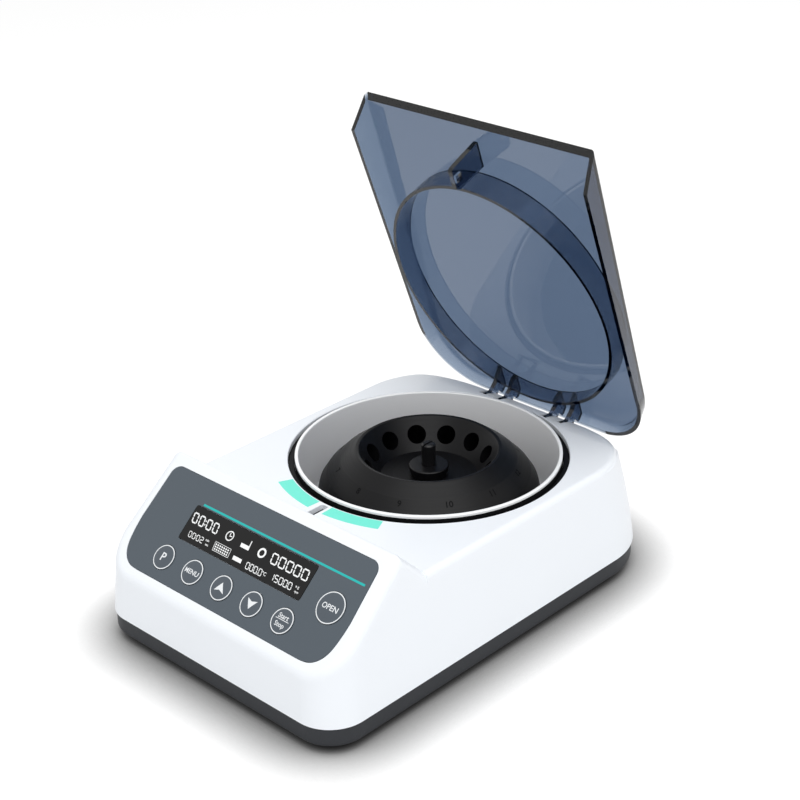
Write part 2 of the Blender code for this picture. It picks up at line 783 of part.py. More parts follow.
def base_tray(root, look):
    """Shallow dark tray with foot recesses, vents and board bosses."""
    outside = tray_rings(TRAY_STEP, 0, TRAY_EDGE_RADIUS)
    inside = tray_rings(TRAY_STEP + TRAY_WALL, TRAY_FLOOR, TRAY_INNER_RADIUS)
    tray = finish("base_tray", shell(outside, inside), look, root)
    recesses = bmesh.new()
    for place in foot_places():
        add_prism(recesses, circle(FOOT_RADIUS + CLEARANCE, ROUND_SEGMENTS // 2, place), -OVERSHOOT, FOOT_RECESS)
    carve(tray, finish("tool_foot_recesses", recesses, None, root))
    vents = bmesh.new()
    for index in range(VENT_COUNT):
        x = VENT_PITCH * (index - (VENT_COUNT - 1) / 2)
        add_prism(
            vents, rectangle(VENT_HALF_WIDTH, VENT_HALF_LENGTH, (x, RAMP_FOOT_Y + VENT_FROM_RAMP)),
            -OVERSHOOT, OVERSHOOT,
        )
    carve(tray, finish("tool_vents", vents, None, root))
    bosses = bmesh.new()
    for place in boss_places():
        add_prism(
            bosses, circle(BOSS_RADIUS, SMALL_SEGMENTS, place), TRAY_FLOOR / 2, TRAY_FLOOR + BOSS_HEIGHT,
        )
    carve(tray, finish("tool_bosses", bosses, None, root), "UNION")


def feet(root, look):
    names = ("foot_front_left", "foot_front_right", "foot_rear_left", "foot_rear_right")
    profile = [
        (0, -FOOT_HEIGHT),
        (FOOT_RADIUS - FOOT_EDGE_RADIUS, -FOOT_HEIGHT),
        (FOOT_RADIUS, FOOT_EDGE_RADIUS - FOOT_HEIGHT),
        (FOOT_RADIUS, FOOT_RECESS - CLEARANCE),
        (0, FOOT_RECESS - CLEARANCE),
    ]
    for name, (x, y) in zip(names, foot_places()):
        finish(name, lathe(profile, ROUND_SEGMENTS // 2), look, root, (x, y, 0))


# Control panel

def panel_plate(panel, look):
    """Flat fascia plate let into the cover, pierced for keys and display."""
    top = 0
    low = CLEARANCE - POCKET_DEPTH
    plate = finish("panel_plate", prism(plate_outline(0), low, top), look, panel)
    holes = bmesh.new()
    for _, centre, radius in key_places():
        add_prism(holes, circle(radius + CLEARANCE, KEY_SEGMENTS, centre), -OVERSHOOT, OVERSHOOT)
    outline = rounded_rectangle(
        DISPLAY_HALF_LENGTH + CLEARANCE, DISPLAY_HALF_HEIGHT + CLEARANCE,
        DISPLAY_CORNER_RADIUS + CLEARANCE, 3, (DISPLAY_X, DISPLAY_S),
    )
    add_prism(holes, outline, -OVERSHOOT, OVERSHOOT)
    carve(plate, finish("tool_plate_holes", holes, None, panel))


def display_window(panel, look):
    outline = rounded_rectangle(
        DISPLAY_HALF_LENGTH, DISPLAY_HALF_HEIGHT, DISPLAY_CORNER_RADIUS, 3, (DISPLAY_X, DISPLAY_S),
    )
    finish("display_window", prism(outline, CLEARANCE - POCKET_DEPTH, 0), look, panel)


def display_module(panel, look):
    """Screen block behind the window, its face standing in the cover's aperture."""
    back_of_wall = -PANEL_WALL - CLEARANCE
    half_length = DISPLAY_HALF_LENGTH - DISPLAY_LEDGE - CLEARANCE
    half_height = DISPLAY_HALF_HEIGHT - DISPLAY_LEDGE - CLEARANCE
    centre = (DISPLAY_X, DISPLAY_S)
    body = prism(
        rectangle(half_length + DISPLAY_LEDGE + MODULE_RIM, half_height + DISPLAY_LEDGE, centre),
        back_of_wall - MODULE_THICKNESS, back_of_wall,
    )
    module = finish("display_module", body, look, panel)
    face = prism(rectangle(half_length, half_height, centre), back_of_wall - MODULE_RIM, -POCKET_DEPTH)
    carve(module, finish("tool_module_face", face, None, panel), "UNION")


def control_board(panel, look):
    """Circuit board behind the display with one switch under each key."""
    top = -PANEL_WALL - MODULE_THICKNESS - 2 * CLEARANCE
    outline = rectangle(PLATE_HALF_WIDTH - BOARD_INSET, PLATE_TOP - BOARD_INSET, (0, BOARD_S))
    board = finish("control_board", prism(outline, top - BOARD_THICKNESS, top), look, panel)
    switches = bmesh.new()
    for _, centre, _ in key_places():
        outline = rectangle(KEY_SWITCH_HALF_WIDTH, KEY_SWITCH_HALF_WIDTH, centre)
        add_prism(switches, outline, top - BOARD_THICKNESS / 2, -KEY_STEM_DEPTH - KEY_TRAVEL - CLEARANCE)
    carve(board, finish("tool_key_switches", switches, None, panel), "UNION")


def key(panel, name, centre, radius, look):
    """Round cap with a low dome on a thin stem."""
    profile = [
        (0, -KEY_STEM_DEPTH),
        (KEY_STEM_RADIUS, -KEY_STEM_DEPTH),
        (KEY_STEM_RADIUS, -KEY_CAP_DEPTH),
        (radius, -KEY_CAP_DEPTH),
        (radius, KEY_RIM / 2),
        (radius - KEY_RIM, KEY_RIM),
        (radius / 2, KEY_RIM + KEY_DOME * 3 / 4),
        (0, KEY_RIM + KEY_DOME),
    ]
    finish(name, lathe(profile, KEY_SEGMENTS), look, panel, (*centre, 0))


# Chamber and drive

def rotor_chamber(root, look):
    """Drawn bowl with a raised rim and a channel that holds the gasket."""
    floor_low = BOWL_FLOOR - BOWL_FLOOR_THICKNESS
    floor_radius = BOWL_INNER_RADIUS - BOWL_KNEE
    rim_low = BOWL_RIM_HEIGHT - BOWL_RIM_ROUND
    channel = DECK_HOLE_RADIUS
    profile = [
        (BOWL_SHAFT_HOLE_RADIUS, floor_low),
        (floor_radius, floor_low),
        (BOWL_OUTER_RADIUS, BOWL_FLOOR + BOWL_KNEE - BOWL_WALL),
        (BOWL_OUTER_RADIUS, FLANGE_LOW),
        (channel + FLANGE_WALL, FLANGE_LOW),
        (channel + FLANGE_WALL, FLANGE_SEAT + FLANGE_LIP),
        (channel, FLANGE_SEAT + FLANGE_LIP),
        (channel, FLANGE_SEAT),
        (BOWL_OUTER_RADIUS, FLANGE_SEAT),
        (BOWL_OUTER_RADIUS, rim_low),
        (BOWL_OUTER_RADIUS - BOWL_RIM_ROUND, BOWL_RIM_HEIGHT),
        (BOWL_INNER_RADIUS + BOWL_RIM_ROUND, BOWL_RIM_HEIGHT),
        (BOWL_INNER_RADIUS, rim_low),
        (BOWL_INNER_RADIUS, BOWL_FLOOR + BOWL_KNEE),
        (floor_radius, BOWL_FLOOR),
        (BOWL_SHAFT_HOLE_RADIUS, BOWL_FLOOR),
    ]
    finish("rotor_chamber", lathe(profile, CHAMBER_SEGMENTS), look, root)


def bowl_gasket(root, look):
    inner = BOWL_OUTER_RADIUS + CLEARANCE
    outer = DECK_HOLE_RADIUS - CLEARANCE
    low = FLANGE_SEAT + CLEARANCE
    profile = [(inner, low), (outer, low), (outer, GASKET_TOP), (inner, GASKET_TOP)]
    finish("bowl_gasket", lathe(profile, CHAMBER_SEGMENTS), look, root)


def motor(root, mount_look, look):
    """Flat motor on three rubber mounts under the chamber."""
    top = BOWL_FLOOR - BOWL_FLOOR_THICKNESS - CLEARANCE
    bore = SHAFT_RADIUS + BEARING_GAP
    profile = [
        (0, MOTOR_FOOT),
        (MOTOR_RADIUS, MOTOR_FOOT),
        (MOTOR_RADIUS, top - MOTOR_CAP_HEIGHT),
        (MOTOR_RADIUS - MOTOR_CAP_STEP, top),
        (bore, top),
        (bore, SHAFT_FOOT - CLEARANCE),
        (0, SHAFT_FOOT - CLEARANCE),
    ]
    finish("motor_housing", lathe(profile), look, root)
    low = TRAY_FLOOR + CLEARANCE
    reach = MOTOR_RADIUS - MOUNT_INSET
    names = ("motor_mount_front", "motor_mount_left", "motor_mount_right")
    for index, name in enumerate(names):
        angle = -QUARTER_TURN - FULL_TURN * index / len(names)
        place = (reach * math.cos(angle), reach * math.sin(angle), low)
        mount = prism(circle(MOUNT_RADIUS, SMALL_SEGMENTS), 0, MOUNT_HEIGHT)
        finish(name, mount, mount_look, root, place)


def drive_shaft(root, look):
    """Steel spindle with a seat for the rotor and a slotted top."""
    collar_low = BOWL_FLOOR + SHAFT_COLLAR_RISE
    top = ROTOR_FLOOR + SHAFT_REACH
    profile = [
        (0, SHAFT_FOOT),
        (SHAFT_RADIUS, SHAFT_FOOT),
        (SHAFT_RADIUS, collar_low),
        (SHAFT_COLLAR_RADIUS, collar_low),
        (SHAFT_COLLAR_RADIUS, ROTOR_HUB_FOOT - CLEARANCE),
        (SHAFT_RADIUS, ROTOR_HUB_FOOT - CLEARANCE),
        (SHAFT_RADIUS, top - SHAFT_SLOT_HALF_WIDTH),
        (SHAFT_RADIUS - SHAFT_SLOT_HALF_WIDTH, top),
        (0, top),
    ]
    shaft = finish("drive_shaft", lathe(profile, ROUND_SEGMENTS // 2), look, root)
    outline = rectangle(SHAFT_SLOT_HALF_WIDTH, OVERSHOOT)
    slot = prism(outline, top - SHAFT_SLOT_DEPTH, top + OVERSHOOT)
    carve(shaft, finish("tool_shaft_slot", slot, None, root))


def tube_bores(root):
    """Slanted round cutters, one for each tube, leaning out at the foot."""
    shape = bmesh.new()
    mouth_height = ROTOR_FOOT + ROTOR_HEIGHT - ROTOR_BROW
    for index in range(TUBE_COUNT):
        turn = TUBE_PHASE + FULL_TURN * index / TUBE_COUNT
        outward = Vector((math.cos(turn), math.sin(turn), 0))
        along = outward * math.sin(TUBE_ANGLE) - Vector((0, 0, math.cos(TUBE_ANGLE)))
        across = Vector((-math.sin(turn), math.cos(turn), 0))
        upright = across.cross(along)
        mouth = outward * TUBE_MOUTH_RADIUS + Vector((0, 0, mouth_height))
        start = mouth - along * TUBE_LEAD
        ring = []
        for x, y in circle(TUBE_RADIUS, BORE_SEGMENTS):
            ring.append(shape.verts.new(start + across * x + upright * y))
        face = shape.faces.new(ring)
        grown = bmesh.ops.extrude_face_region(shape, geom=[face], use_keep_orig=True)
        moved = [item for item in grown["geom"] if isinstance(item, bmesh.types.BMVert)]
        bmesh.ops.translate(shape, verts=moved, vec=along * (TUBE_LEAD + TUBE_DEPTH))
    return finish("tool_tube_bores", shape, None, root)


def rotor(root, look):
    """Fixed-angle rotor: solid of revolution pierced by slanted bores."""
    bore = SHAFT_RADIUS + CLEARANCE
    outline = [(ROTOR_RADIUS * out, ROTOR_FOOT + ROTOR_HEIGHT * up) for out, up in ROTOR_OUTLINE_shares]
    profile = [
        (bore, ROTOR_HUB_FOOT),
        (ROTOR_HUB_RADIUS, ROTOR_HUB_FOOT),
        *outline,
        (ROTOR_RADIUS * ROTOR_FLOOR_shares[0], ROTOR_FLOOR),
        (bore, ROTOR_FLOOR),
    ]
    piece = finish("rotor", lathe(profile), look, root)
    carve(piece, tube_bores(root))


def rotor_nut(root, look):
    bore = SHAFT_RADIUS + CLEARANCE
    low = ROTOR_FLOOR + CLEARANCE
    top = ROTOR_FLOOR + NUT_HEIGHT
    profile = [
        (bore, low),
        (NUT_RADIUS - NUT_EDGE, low),
        (NUT_RADIUS, low + NUT_EDGE),
        (NUT_RADIUS, top - NUT_EDGE),
        (NUT_RADIUS - NUT_EDGE, top),
        (bore, top),
    ]
    finish("rotor_nut", lathe(profile, ROUND_SEGMENTS // 2), look, root)


# Lid

def lid_top_at(y):
    """Height of the lid's top, which falls a little to the rear."""
    return LID_TOP - math.tan(LID_TOP_FALL) * (y - RAMP_FOOT_Y)


def lid_rings(inset, drop, edge, front):
    """Rings of one skin of the lid, in place when closed."""
    stations = [("side", front)]
    reach = LID_REAR - LID_REAR_RADIUS - LID_FRONT
    stations.extend(("side", LID_FRONT + reach * share) for share in LID_STATION_shares)
    for index in range(LID_REAR_STEPS + 1):
        stations.append(("rear", QUARTER_TURN * index / LID_REAR_STEPS))
    rings = []
    for share in (0, 1):
        flare = LID_FOOT_FLARE * (1 - share)
        ring = []
        for station in stations:
            x, y = lid_point(station, inset - flare)
            foot = LID_SKIRT_FOOT + lid_rear_rise(y)
            ring.append((x, y, foot + (lid_top_at(y) - drop - edge - foot) * share))
        rings.append(ring)
    for index in range(1, 4):
        angle = QUARTER_TURN * index / 3
        ring = []
        for station in stations:
            x, y = lid_point(station, inset + edge * (1 - math.cos(angle)))
            ring.append((x, y, lid_top_at(y) - drop - edge * (1 - math.sin(angle))))
        rings.append(ring)
    return rings


def lid_rear_rise(y):
    share = (y - LID_REAR + LID_REAR_RISE_LENGTH) / LID_REAR_RISE_LENGTH
    return LID_REAR_RISE * min(max(share, 0), 1)


def lid_point(station, inset):
    kind, value = station
    if kind == "side":
        return LID_HALF_WIDTH - inset, value
    reach = LID_REAR_RADIUS - inset
    middle_x = LID_HALF_WIDTH - LID_REAR_RADIUS
    middle_y = LID_REAR - LID_REAR_RADIUS
    return middle_x + reach * math.cos(value), middle_y + reach * math.sin(value)


def ear_outline(x):
    """Side view of one hinge ear about the pin, boss first."""
    points = []
    for index in range(EAR_BOSS_STEPS + 1):
        angle = EAR_BOSS_START + (EAR_BOSS_END - EAR_BOSS_START) * index / EAR_BOSS_STEPS
        points.append((EAR_BOSS_RADIUS * math.cos(angle), EAR_BOSS_RADIUS * math.sin(angle)))
    ring_y = math.sqrt((LID_RING_OUTER_RADIUS - LID_RING_WALL / 2) ** 2 - x ** 2)
    ring = ring_y - HINGE_Y
    rear, notch = EAR_REAR
    front = EAR_FRONT[-1]
    rear_plate = lid_top_at(rear[0] + HINGE_Y) - LID_PLATE / 2 - HINGE_Z
    ring_plate = lid_top_at(ring_y) - LID_PLATE / 2 - HINGE_Z
    points.extend([notch, rear, (rear[0], rear_plate), (ring, ring_plate), (ring, front[1] - ring + front[0])])
    points.extend(reversed(EAR_FRONT))
    return points


def hook_outline():
    """Side view of the latch hook, narrowing a little to its tip."""
    plate = lid_top_at(BOLT_Y) - LID_PLATE / 2
    tip = DECK_HEIGHT - HOOK_DROP
    tip_front = BOLT_Y - HOOK_TIP_FRONT_REACH
    tip_rear = BOLT_Y + HOOK_TIP_REAR_REACH
    outline = [
        (BOLT_Y - HOOK_ROOT_FRONT_REACH, plate),
        (tip_front, tip + HOOK_TIP_CHAMFER),
        (tip_front + HOOK_TIP_CHAMFER, tip),
        (tip_rear - HOOK_TIP_CHAMFER, tip),
        (tip_rear, tip + HOOK_TIP_CHAMFER),
        (BOLT_Y + HOOK_ROOT_REAR_REACH, plate),
    ]
    return [(y - HINGE_Y, z - HINGE_Z) for y, z in outline]


def lid(hinge, look):
    """Clear cap with slanted front, splash ring, hook and four ears."""
    outside = lid_rings(0, 0, LID_EDGE_RADIUS, LID_FRONT)
    inside = lid_rings(LID_SKIRT, LID_PLATE, LID_INNER_RADIUS, LID_FRONT + LID_EDGE_RADIUS)
    shape = shell(outside, inside)
    bmesh.ops.translate(shape, verts=shape.verts, vec=(0, -HINGE_Y, -HINGE_Z))
    piece = finish("lid", shape, look, hinge)
    carve(piece, lid_front_tool(hinge))
    for tool in lid_additions(hinge):
        carve(piece, tool, "UNION")
    carve(piece, lid_holes(hinge))


def lid_front_tool(hinge):
    """Everything in front of a plane parallel to the ramp."""
    foot_z = LID_SKIRT_FOOT - OVERSHOOT
    top_z = LID_TOP + OVERSHOOT
    plane = RAMP_FOOT_Y + DECK_HEIGHT + LID_FRONT_GAP * math.sqrt(2)
    outline = [
        (plane - foot_z, foot_z),
        (plane - top_z, top_z),
        (LID_FRONT - 2 * OVERSHOOT, top_z),
        (LID_FRONT - 2 * OVERSHOOT, foot_z),
    ]
    local = [(y - HINGE_Y, z - HINGE_Z) for y, z in outline]
    half_width = LID_HALF_WIDTH + OVERSHOOT
    return finish("tool_lid_front", prism(local, -half_width, half_width, "X"), None, hinge)


def lid_additions(hinge):
    low = GASKET_TOP + CLEARANCE
    inner = LID_RING_OUTER_RADIUS - LID_RING_WALL
    profile = [(inner, low), (LID_RING_OUTER_RADIUS, low), (LID_RING_OUTER_RADIUS, LID_TOP), (inner, LID_TOP)]
    wall = lathe(profile, CHAMBER_SEGMENTS)
    for corner in wall.verts:
        if corner.co.z > DECK_HEIGHT:
            corner.co.z = lid_top_at(corner.co.y) - LID_PLATE + LID_RING_EMBED
    ring = finish("tool_lid_ring", wall, None, hinge, (0, -HINGE_Y, -HINGE_Z))
    hook = prism(hook_outline(), -HOOK_HALF_THICKNESS, HOOK_HALF_THICKNESS, "X")
    ears = bmesh.new()
    for x in (EAR_INNER_X, EAR_OUTER_X):
        for side in (-1, 1):
            near = side * x - EAR_THICKNESS / 2
            add_prism(ears, ear_outline(x), near, near + EAR_THICKNESS, "X")
    return ring, finish("tool_lid_hook", hook, None, hinge), finish("tool_lid_ears", ears, None, hinge)


def lid_holes(hinge):
    """Pin holes through the ears and the bolt window through the hook."""
    shape = bmesh.new()
    centre = (BOLT_Y - HINGE_Y, BOLT_Z - HINGE_Z)
    window = rectangle(HOOK_WINDOW_HALF, HOOK_WINDOW_HALF, centre)
    add_prism(shape, window, -2 * HOOK_HALF_THICKNESS, 2 * HOOK_HALF_THICKNESS, "X")
    for side in (-1, 1):
        near, far = sorted((side * HINGE_POCKET_INNER_X, side * HINGE_POCKET_OUTER_X))
        add_prism(shape, circle(PIN_RADIUS + PIN_HOLE_GAP, BORE_SEGMENTS), near, far, "X")
    return finish("tool_lid_holes", shape, None, hinge)


def hinge_hardware(root, bracket_look, pin_look):
    """A post and a steel pin on each side, the pin through post and ears."""
    deck = top_path(0, 0, 0, 0)
    top = []
    front = HINGE_Y - BRACKET_FRONT_REACH
    rear = HINGE_Y + BRACKET_REAR_REACH
    steps = SLOPE_STEPS // 2
    top_rear = SLOPE_START_Y + SLOPE_LENGTH - REAR_FILLET / 2
    for index in range(steps + 1):
        y = front + (top_rear - front) * index / steps
        top.append((y, height_on(deck, y) - BRACKET_TOP_DROP))
    outline = [
        (front, TRAY_FLOOR + CLEARANCE),
        *top,
        (rear, HINGE_Z - BRACKET_SHOULDER_DROP),
        (rear, TRAY_FLOOR + CLEARANCE),
    ]
    for side, word in ((-1, "left"), (1, "right")):
        near, far = sorted((side * BRACKET_INNER_X, side * BRACKET_OUTER_X))
        bracket = finish("hinge_bracket_" + word, prism(outline, near, far, "X"), bracket_look, root)
        hole = prism(
            circle(PIN_RADIUS + PIN_HOLE_GAP, BORE_SEGMENTS, (HINGE_Y, HINGE_Z)),
            near - OVERSHOOT, far + OVERSHOOT, "X",
        )
        carve(bracket, finish("tool_pin_hole_" + word, hole, None, root))
        inner = HINGE_POCKET_INNER_X + CLEARANCE
        outer = HINGE_POCKET_OUTER_X - CLEARANCE
        near, far = sorted((side * inner, side * outer))
        pin = prism(circle(PIN_RADIUS, BORE_SEGMENTS, (HINGE_Y, HINGE_Z)), near, far, "X")
        finish("hinge_pin_" + word, pin, pin_look, root)


# Latch

def latch(root, housing_look, bolt_look):
    """Block hung under the deck with a bolt that slides across its slot."""
    top = DECK_HEIGHT - WALL - CLEARANCE
    rear = BOLT_Y + LATCH_REAR_REACH
    outline = span(-LATCH_HALF_WIDTH, LATCH_HALF_WIDTH, BOLT_Y - LATCH_FRONT_REACH, rear)
    block = finish("latch_housing", prism(outline, DECK_HEIGHT - LATCH_HEIGHT, top), housing_look, root)
    slot_half = HOOK_HALF_THICKNESS + LATCH_SLOT_GAP
    slot = prism(
        span(-slot_half, slot_half, BOLT_Y - LATCH_SLOT_FRONT_REACH, rear + OVERSHOOT),
        DECK_HEIGHT - LATCH_SLOT_DEPTH, top + OVERSHOOT,
    )
    carve(block, finish("tool_latch_housing_slot", slot, None, root))
    bore = prism(
        circle(BOLT_RADIUS + CLEARANCE, SMALL_SEGMENTS, (BOLT_Y, BOLT_Z)),
        -slot_half - LATCH_BORE_DEPTH, LATCH_HALF_WIDTH + OVERSHOOT, "X",
    )
    carve(block, finish("tool_bolt_bore", bore, None, root))
    tail = LATCH_HALF_WIDTH + CLEARANCE + BOLT_TRAVEL
    profile = [
        (0, BOLT_TIP_X),
        (BOLT_RADIUS, BOLT_TIP_X),
        (BOLT_RADIUS, tail),
        (BOLT_HEAD_RADIUS, tail),
        (BOLT_HEAD_RADIUS, tail + BOLT_HEAD_LENGTH),
        (0, tail + BOLT_HEAD_LENGTH),
    ]
    finish(
        "latch_bolt", lathe(profile, SMALL_SEGMENTS), bolt_look, root,
        (0, BOLT_Y, BOLT_Z), (0, QUARTER_TURN, 0),
    )


# Back of the machine

def back_place():
    """Where the rear wall is at the inlet's height, and how far it leans in."""
    low = plan_at(BACK_Z - INLET_FLANGE_HALF[1])[2]
    high = plan_at(BACK_Z + INLET_FLANGE_HALF[1])[2]
    lean = math.atan2(low - high, 2 * INLET_FLANGE_HALF[1])
    return plan_at(BACK_Z)[2] + CLEARANCE, lean


def socket_block(back, name, look, centre_x, halves, flange_halves, depth, recess_halves, recess_depth):
    """Block with a flange outside the wall and a recess from the back."""
    body = prism(rectangle(*halves, (centre_x, 0)), -depth, BACK_FLANGE_THICKNESS / 2, "Y")
    block = finish(name, body, look, back)
    flange = prism(rectangle(*flange_halves, (centre_x, 0)), 0, BACK_FLANGE_THICKNESS, "Y")
    carve(block, finish("tool_flange_of_" + name, flange, None, back), "UNION")
    recess = prism(rectangle(*recess_halves, (centre_x, 0)), -recess_depth, OVERSHOOT, "Y")
    carve(block, finish("tool_recess_of_" + name, recess, None, back))


def power_inlet(back, look, pin_look):
    """Three-pin mains inlet; the cord that plugs into it is separate."""
    socket_block(
        back, "power_inlet", look, INLET_X, INLET_HALF, INLET_FLANGE_HALF,
        INLET_DEPTH, INLET_RECESS_HALF, INLET_RECESS_DEPTH,
    )
    places = (
        ("inlet_pin_left", INLET_X - INLET_PIN_SPACING, -INLET_PIN_RISE),
        ("inlet_pin_middle", INLET_X, INLET_PIN_RISE),
        ("inlet_pin_right", INLET_X + INLET_PIN_SPACING, -INLET_PIN_RISE),
    )
    low = CLEARANCE - INLET_RECESS_DEPTH
    for name, x, z in places:
        pin = prism(rectangle(*INLET_PIN_HALF, (x, z)), low, low + INLET_PIN_LENGTH, "Y")
        finish(name, pin, pin_look, back)


def power_switch(back, look, rocker_look):
    socket_block(
        back, "power_switch", look, SWITCH_X, SWITCH_HALF, SWITCH_FLANGE_HALF,
        SWITCH_DEPTH, SWITCH_RECESS_HALF, SWITCH_RECESS_DEPTH,
    )
    outline = [
        (ROCKER_TIP, ROCKER_HALF_LENGTH),
        (ROCKER_WAIST, 0),
        (ROCKER_TIP, -ROCKER_HALF_LENGTH),
        (ROCKER_HEEL, -ROCKER_HALF_LENGTH),
        (-ROCKER_WAIST, 0),
        (ROCKER_HEEL, ROCKER_HALF_LENGTH),
    ]
    half_width = SWITCH_RECESS_HALF[0] - CLEARANCE
    finish(
        "power_rocker", prism(outline, -half_width, half_width, "X"), rocker_look, back,
        (SWITCH_X, -ROCKER_PIVOT_DEPTH, 0), (ROCKER_REST_ANGLE, 0, 0),
    )


def drive_board(root, look):
    """Power board on four bosses with two capacitors and a heat sink."""
    low = TRAY_FLOOR + BOSS_HEIGHT + CLEARANCE
    outline = span(-DRIVE_HALF_LENGTH, DRIVE_HALF_LENGTH, DRIVE_FRONT, DRIVE_REAR)
    board = finish("drive_board", prism(outline, low, low + BOARD_THICKNESS), look, root)
    middle = (DRIVE_FRONT + DRIVE_REAR) / 2
    start = low + BOARD_THICKNESS / 2
    parts = bmesh.new()
    for x in CAPACITOR_XS:
        outline = circle(CAPACITOR_RADIUS, SMALL_SEGMENTS, (x, middle))
        add_prism(parts, outline, start, start + CAPACITOR_HEIGHT)
    add_prism(parts, rectangle(*HEATSINK_HALF, (HEATSINK_X, middle)), start, start + HEATSINK_HEIGHT)
    carve(board, finish("tool_board_parts", parts, None, root), "UNION")


def build():
    clear_scene()
    white = material("white_housing", (0.86, 0.87, 0.88), 0.32)
    base_grey = material("dark_grey_base", (0.075, 0.080, 0.088), 0.50)
    rubber = material("black_rubber", (0.012, 0.012, 0.013), 0.75)
    fascia = material("grey_fascia", (0.100, 0.115, 0.130), 0.45)
    glass = material("dark_display_window", (0.010, 0.012, 0.014), 0.08)
    screen = material("screen_black", (0.020, 0.022, 0.024), 0.30)
    green = material("circuit_board", (0.020, 0.120, 0.060), 0.55)
    key_grey = material("key_grey", (0.150, 0.170, 0.190), 0.40)
    bowl_grey = material("bowl_light_grey", (0.620, 0.630, 0.640), 0.35)
    seal = material("seal_black", (0.010, 0.010, 0.011), 0.60)
    motor_metal = material("motor_aluminium", (0.550, 0.560, 0.570), 0.35, 1.0)
    steel = material("steel", (0.600, 0.600, 0.610), 0.25, 1.0)
    rotor_black = material("rotor_black", (0.018, 0.018, 0.020), 0.38)
    nut_black = material("nut_black", (0.030, 0.030, 0.033), 0.30)
    smoke = material("smoky_lid", (0.220, 0.300, 0.400), 0.06, 0.0, 0.45)
    latch_black = material("latch_black", (0.030, 0.030, 0.032), 0.50)
    inlet_black = material("inlet_black", (0.020, 0.020, 0.021), 0.45)
    brass = material("contact_brass", (0.700, 0.520, 0.220), 0.30, 1.0)
    rocker_black = material("rocker_black", (0.025, 0.025, 0.026), 0.35)

    root = empty("machine", (0, AXIS_Y, FOOT_HEIGHT))
    panel = empty("panel_frame", (0, PANEL_Y, PANEL_Z), (PANEL_TILT, 0, 0), root)
    back_y, back_lean = back_place()
    back = empty("back_frame", (0, back_y, BACK_Z), (back_lean, 0, 0), root)
    hinge = empty("lid_hinge", (0, HINGE_Y, HINGE_Z), (-LID_OPEN_ANGLE, 0, 0), root)

    base_tray(root, base_grey)
    feet(root, rubber)
    housing_cover(root, panel, back, white)
    panel_plate(panel, fascia)
    display_window(panel, glass)
    display_module(panel, screen)
    control_board(panel, green)
    for name, centre, radius in key_places():
        key(panel, name, centre, radius, key_grey)
    rotor_chamber(root, bowl_grey)
    bowl_gasket(root, seal)
    motor(root, rubber, motor_metal)
    drive_shaft(root, steel)
    rotor(root, rotor_black)
    rotor_nut(root, nut_black)
    lid(hinge, smoke)
    hinge_hardware(root, white, steel)
    latch(root, latch_black, steel)
    power_inlet(back, inlet_black, brass)
    power_switch(back, inlet_black, rocker_black)
    drive_board(root, green)


build()
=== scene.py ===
import math

import bmesh
import bpy
import numpy as np
from mathutils import Matrix, Vector


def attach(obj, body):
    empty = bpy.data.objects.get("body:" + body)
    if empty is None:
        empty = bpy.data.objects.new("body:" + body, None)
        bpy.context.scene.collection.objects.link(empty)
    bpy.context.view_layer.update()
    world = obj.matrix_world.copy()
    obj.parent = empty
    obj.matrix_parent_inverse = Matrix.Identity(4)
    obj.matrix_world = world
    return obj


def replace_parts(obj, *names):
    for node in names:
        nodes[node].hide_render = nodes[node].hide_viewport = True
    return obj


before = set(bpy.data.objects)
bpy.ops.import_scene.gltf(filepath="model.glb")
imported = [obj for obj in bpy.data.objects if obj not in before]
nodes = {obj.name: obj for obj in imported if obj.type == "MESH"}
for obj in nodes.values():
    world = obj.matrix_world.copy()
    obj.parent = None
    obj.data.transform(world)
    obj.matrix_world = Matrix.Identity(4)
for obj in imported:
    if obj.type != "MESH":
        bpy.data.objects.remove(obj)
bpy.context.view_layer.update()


# Housing cover.
# One white moulding over the whole machine: tilted panel, lip, short ramp and flat deck,
# with drafted sides, a bulging back and a round opening for the chamber.

def linear(hex_colour):
    """sRGB hex to linear red, green and blue, with an alpha of 1."""
    values = [int(hex_colour[i:i + 2], 16) / 255 for i in (0, 2, 4)]
    return (*[v / 12.92 if v <= 0.04045 else ((v + 0.055) / 1.055) ** 2.4 for v in values], 1.0)


def add_node(tree, kind, links=(), **settings):
    """Adds a shader node, sets its attributes or sockets by name and links (from socket, to input)."""
    node = tree.nodes.new(kind)
    for name, value in settings.items():
        if hasattr(node, name):
            setattr(node, name, value)
        else:
            node.inputs[name.replace("_", " ")].default_value = value
    for source, target in links:
        tree.links.new(source, node.inputs[target])
    return node


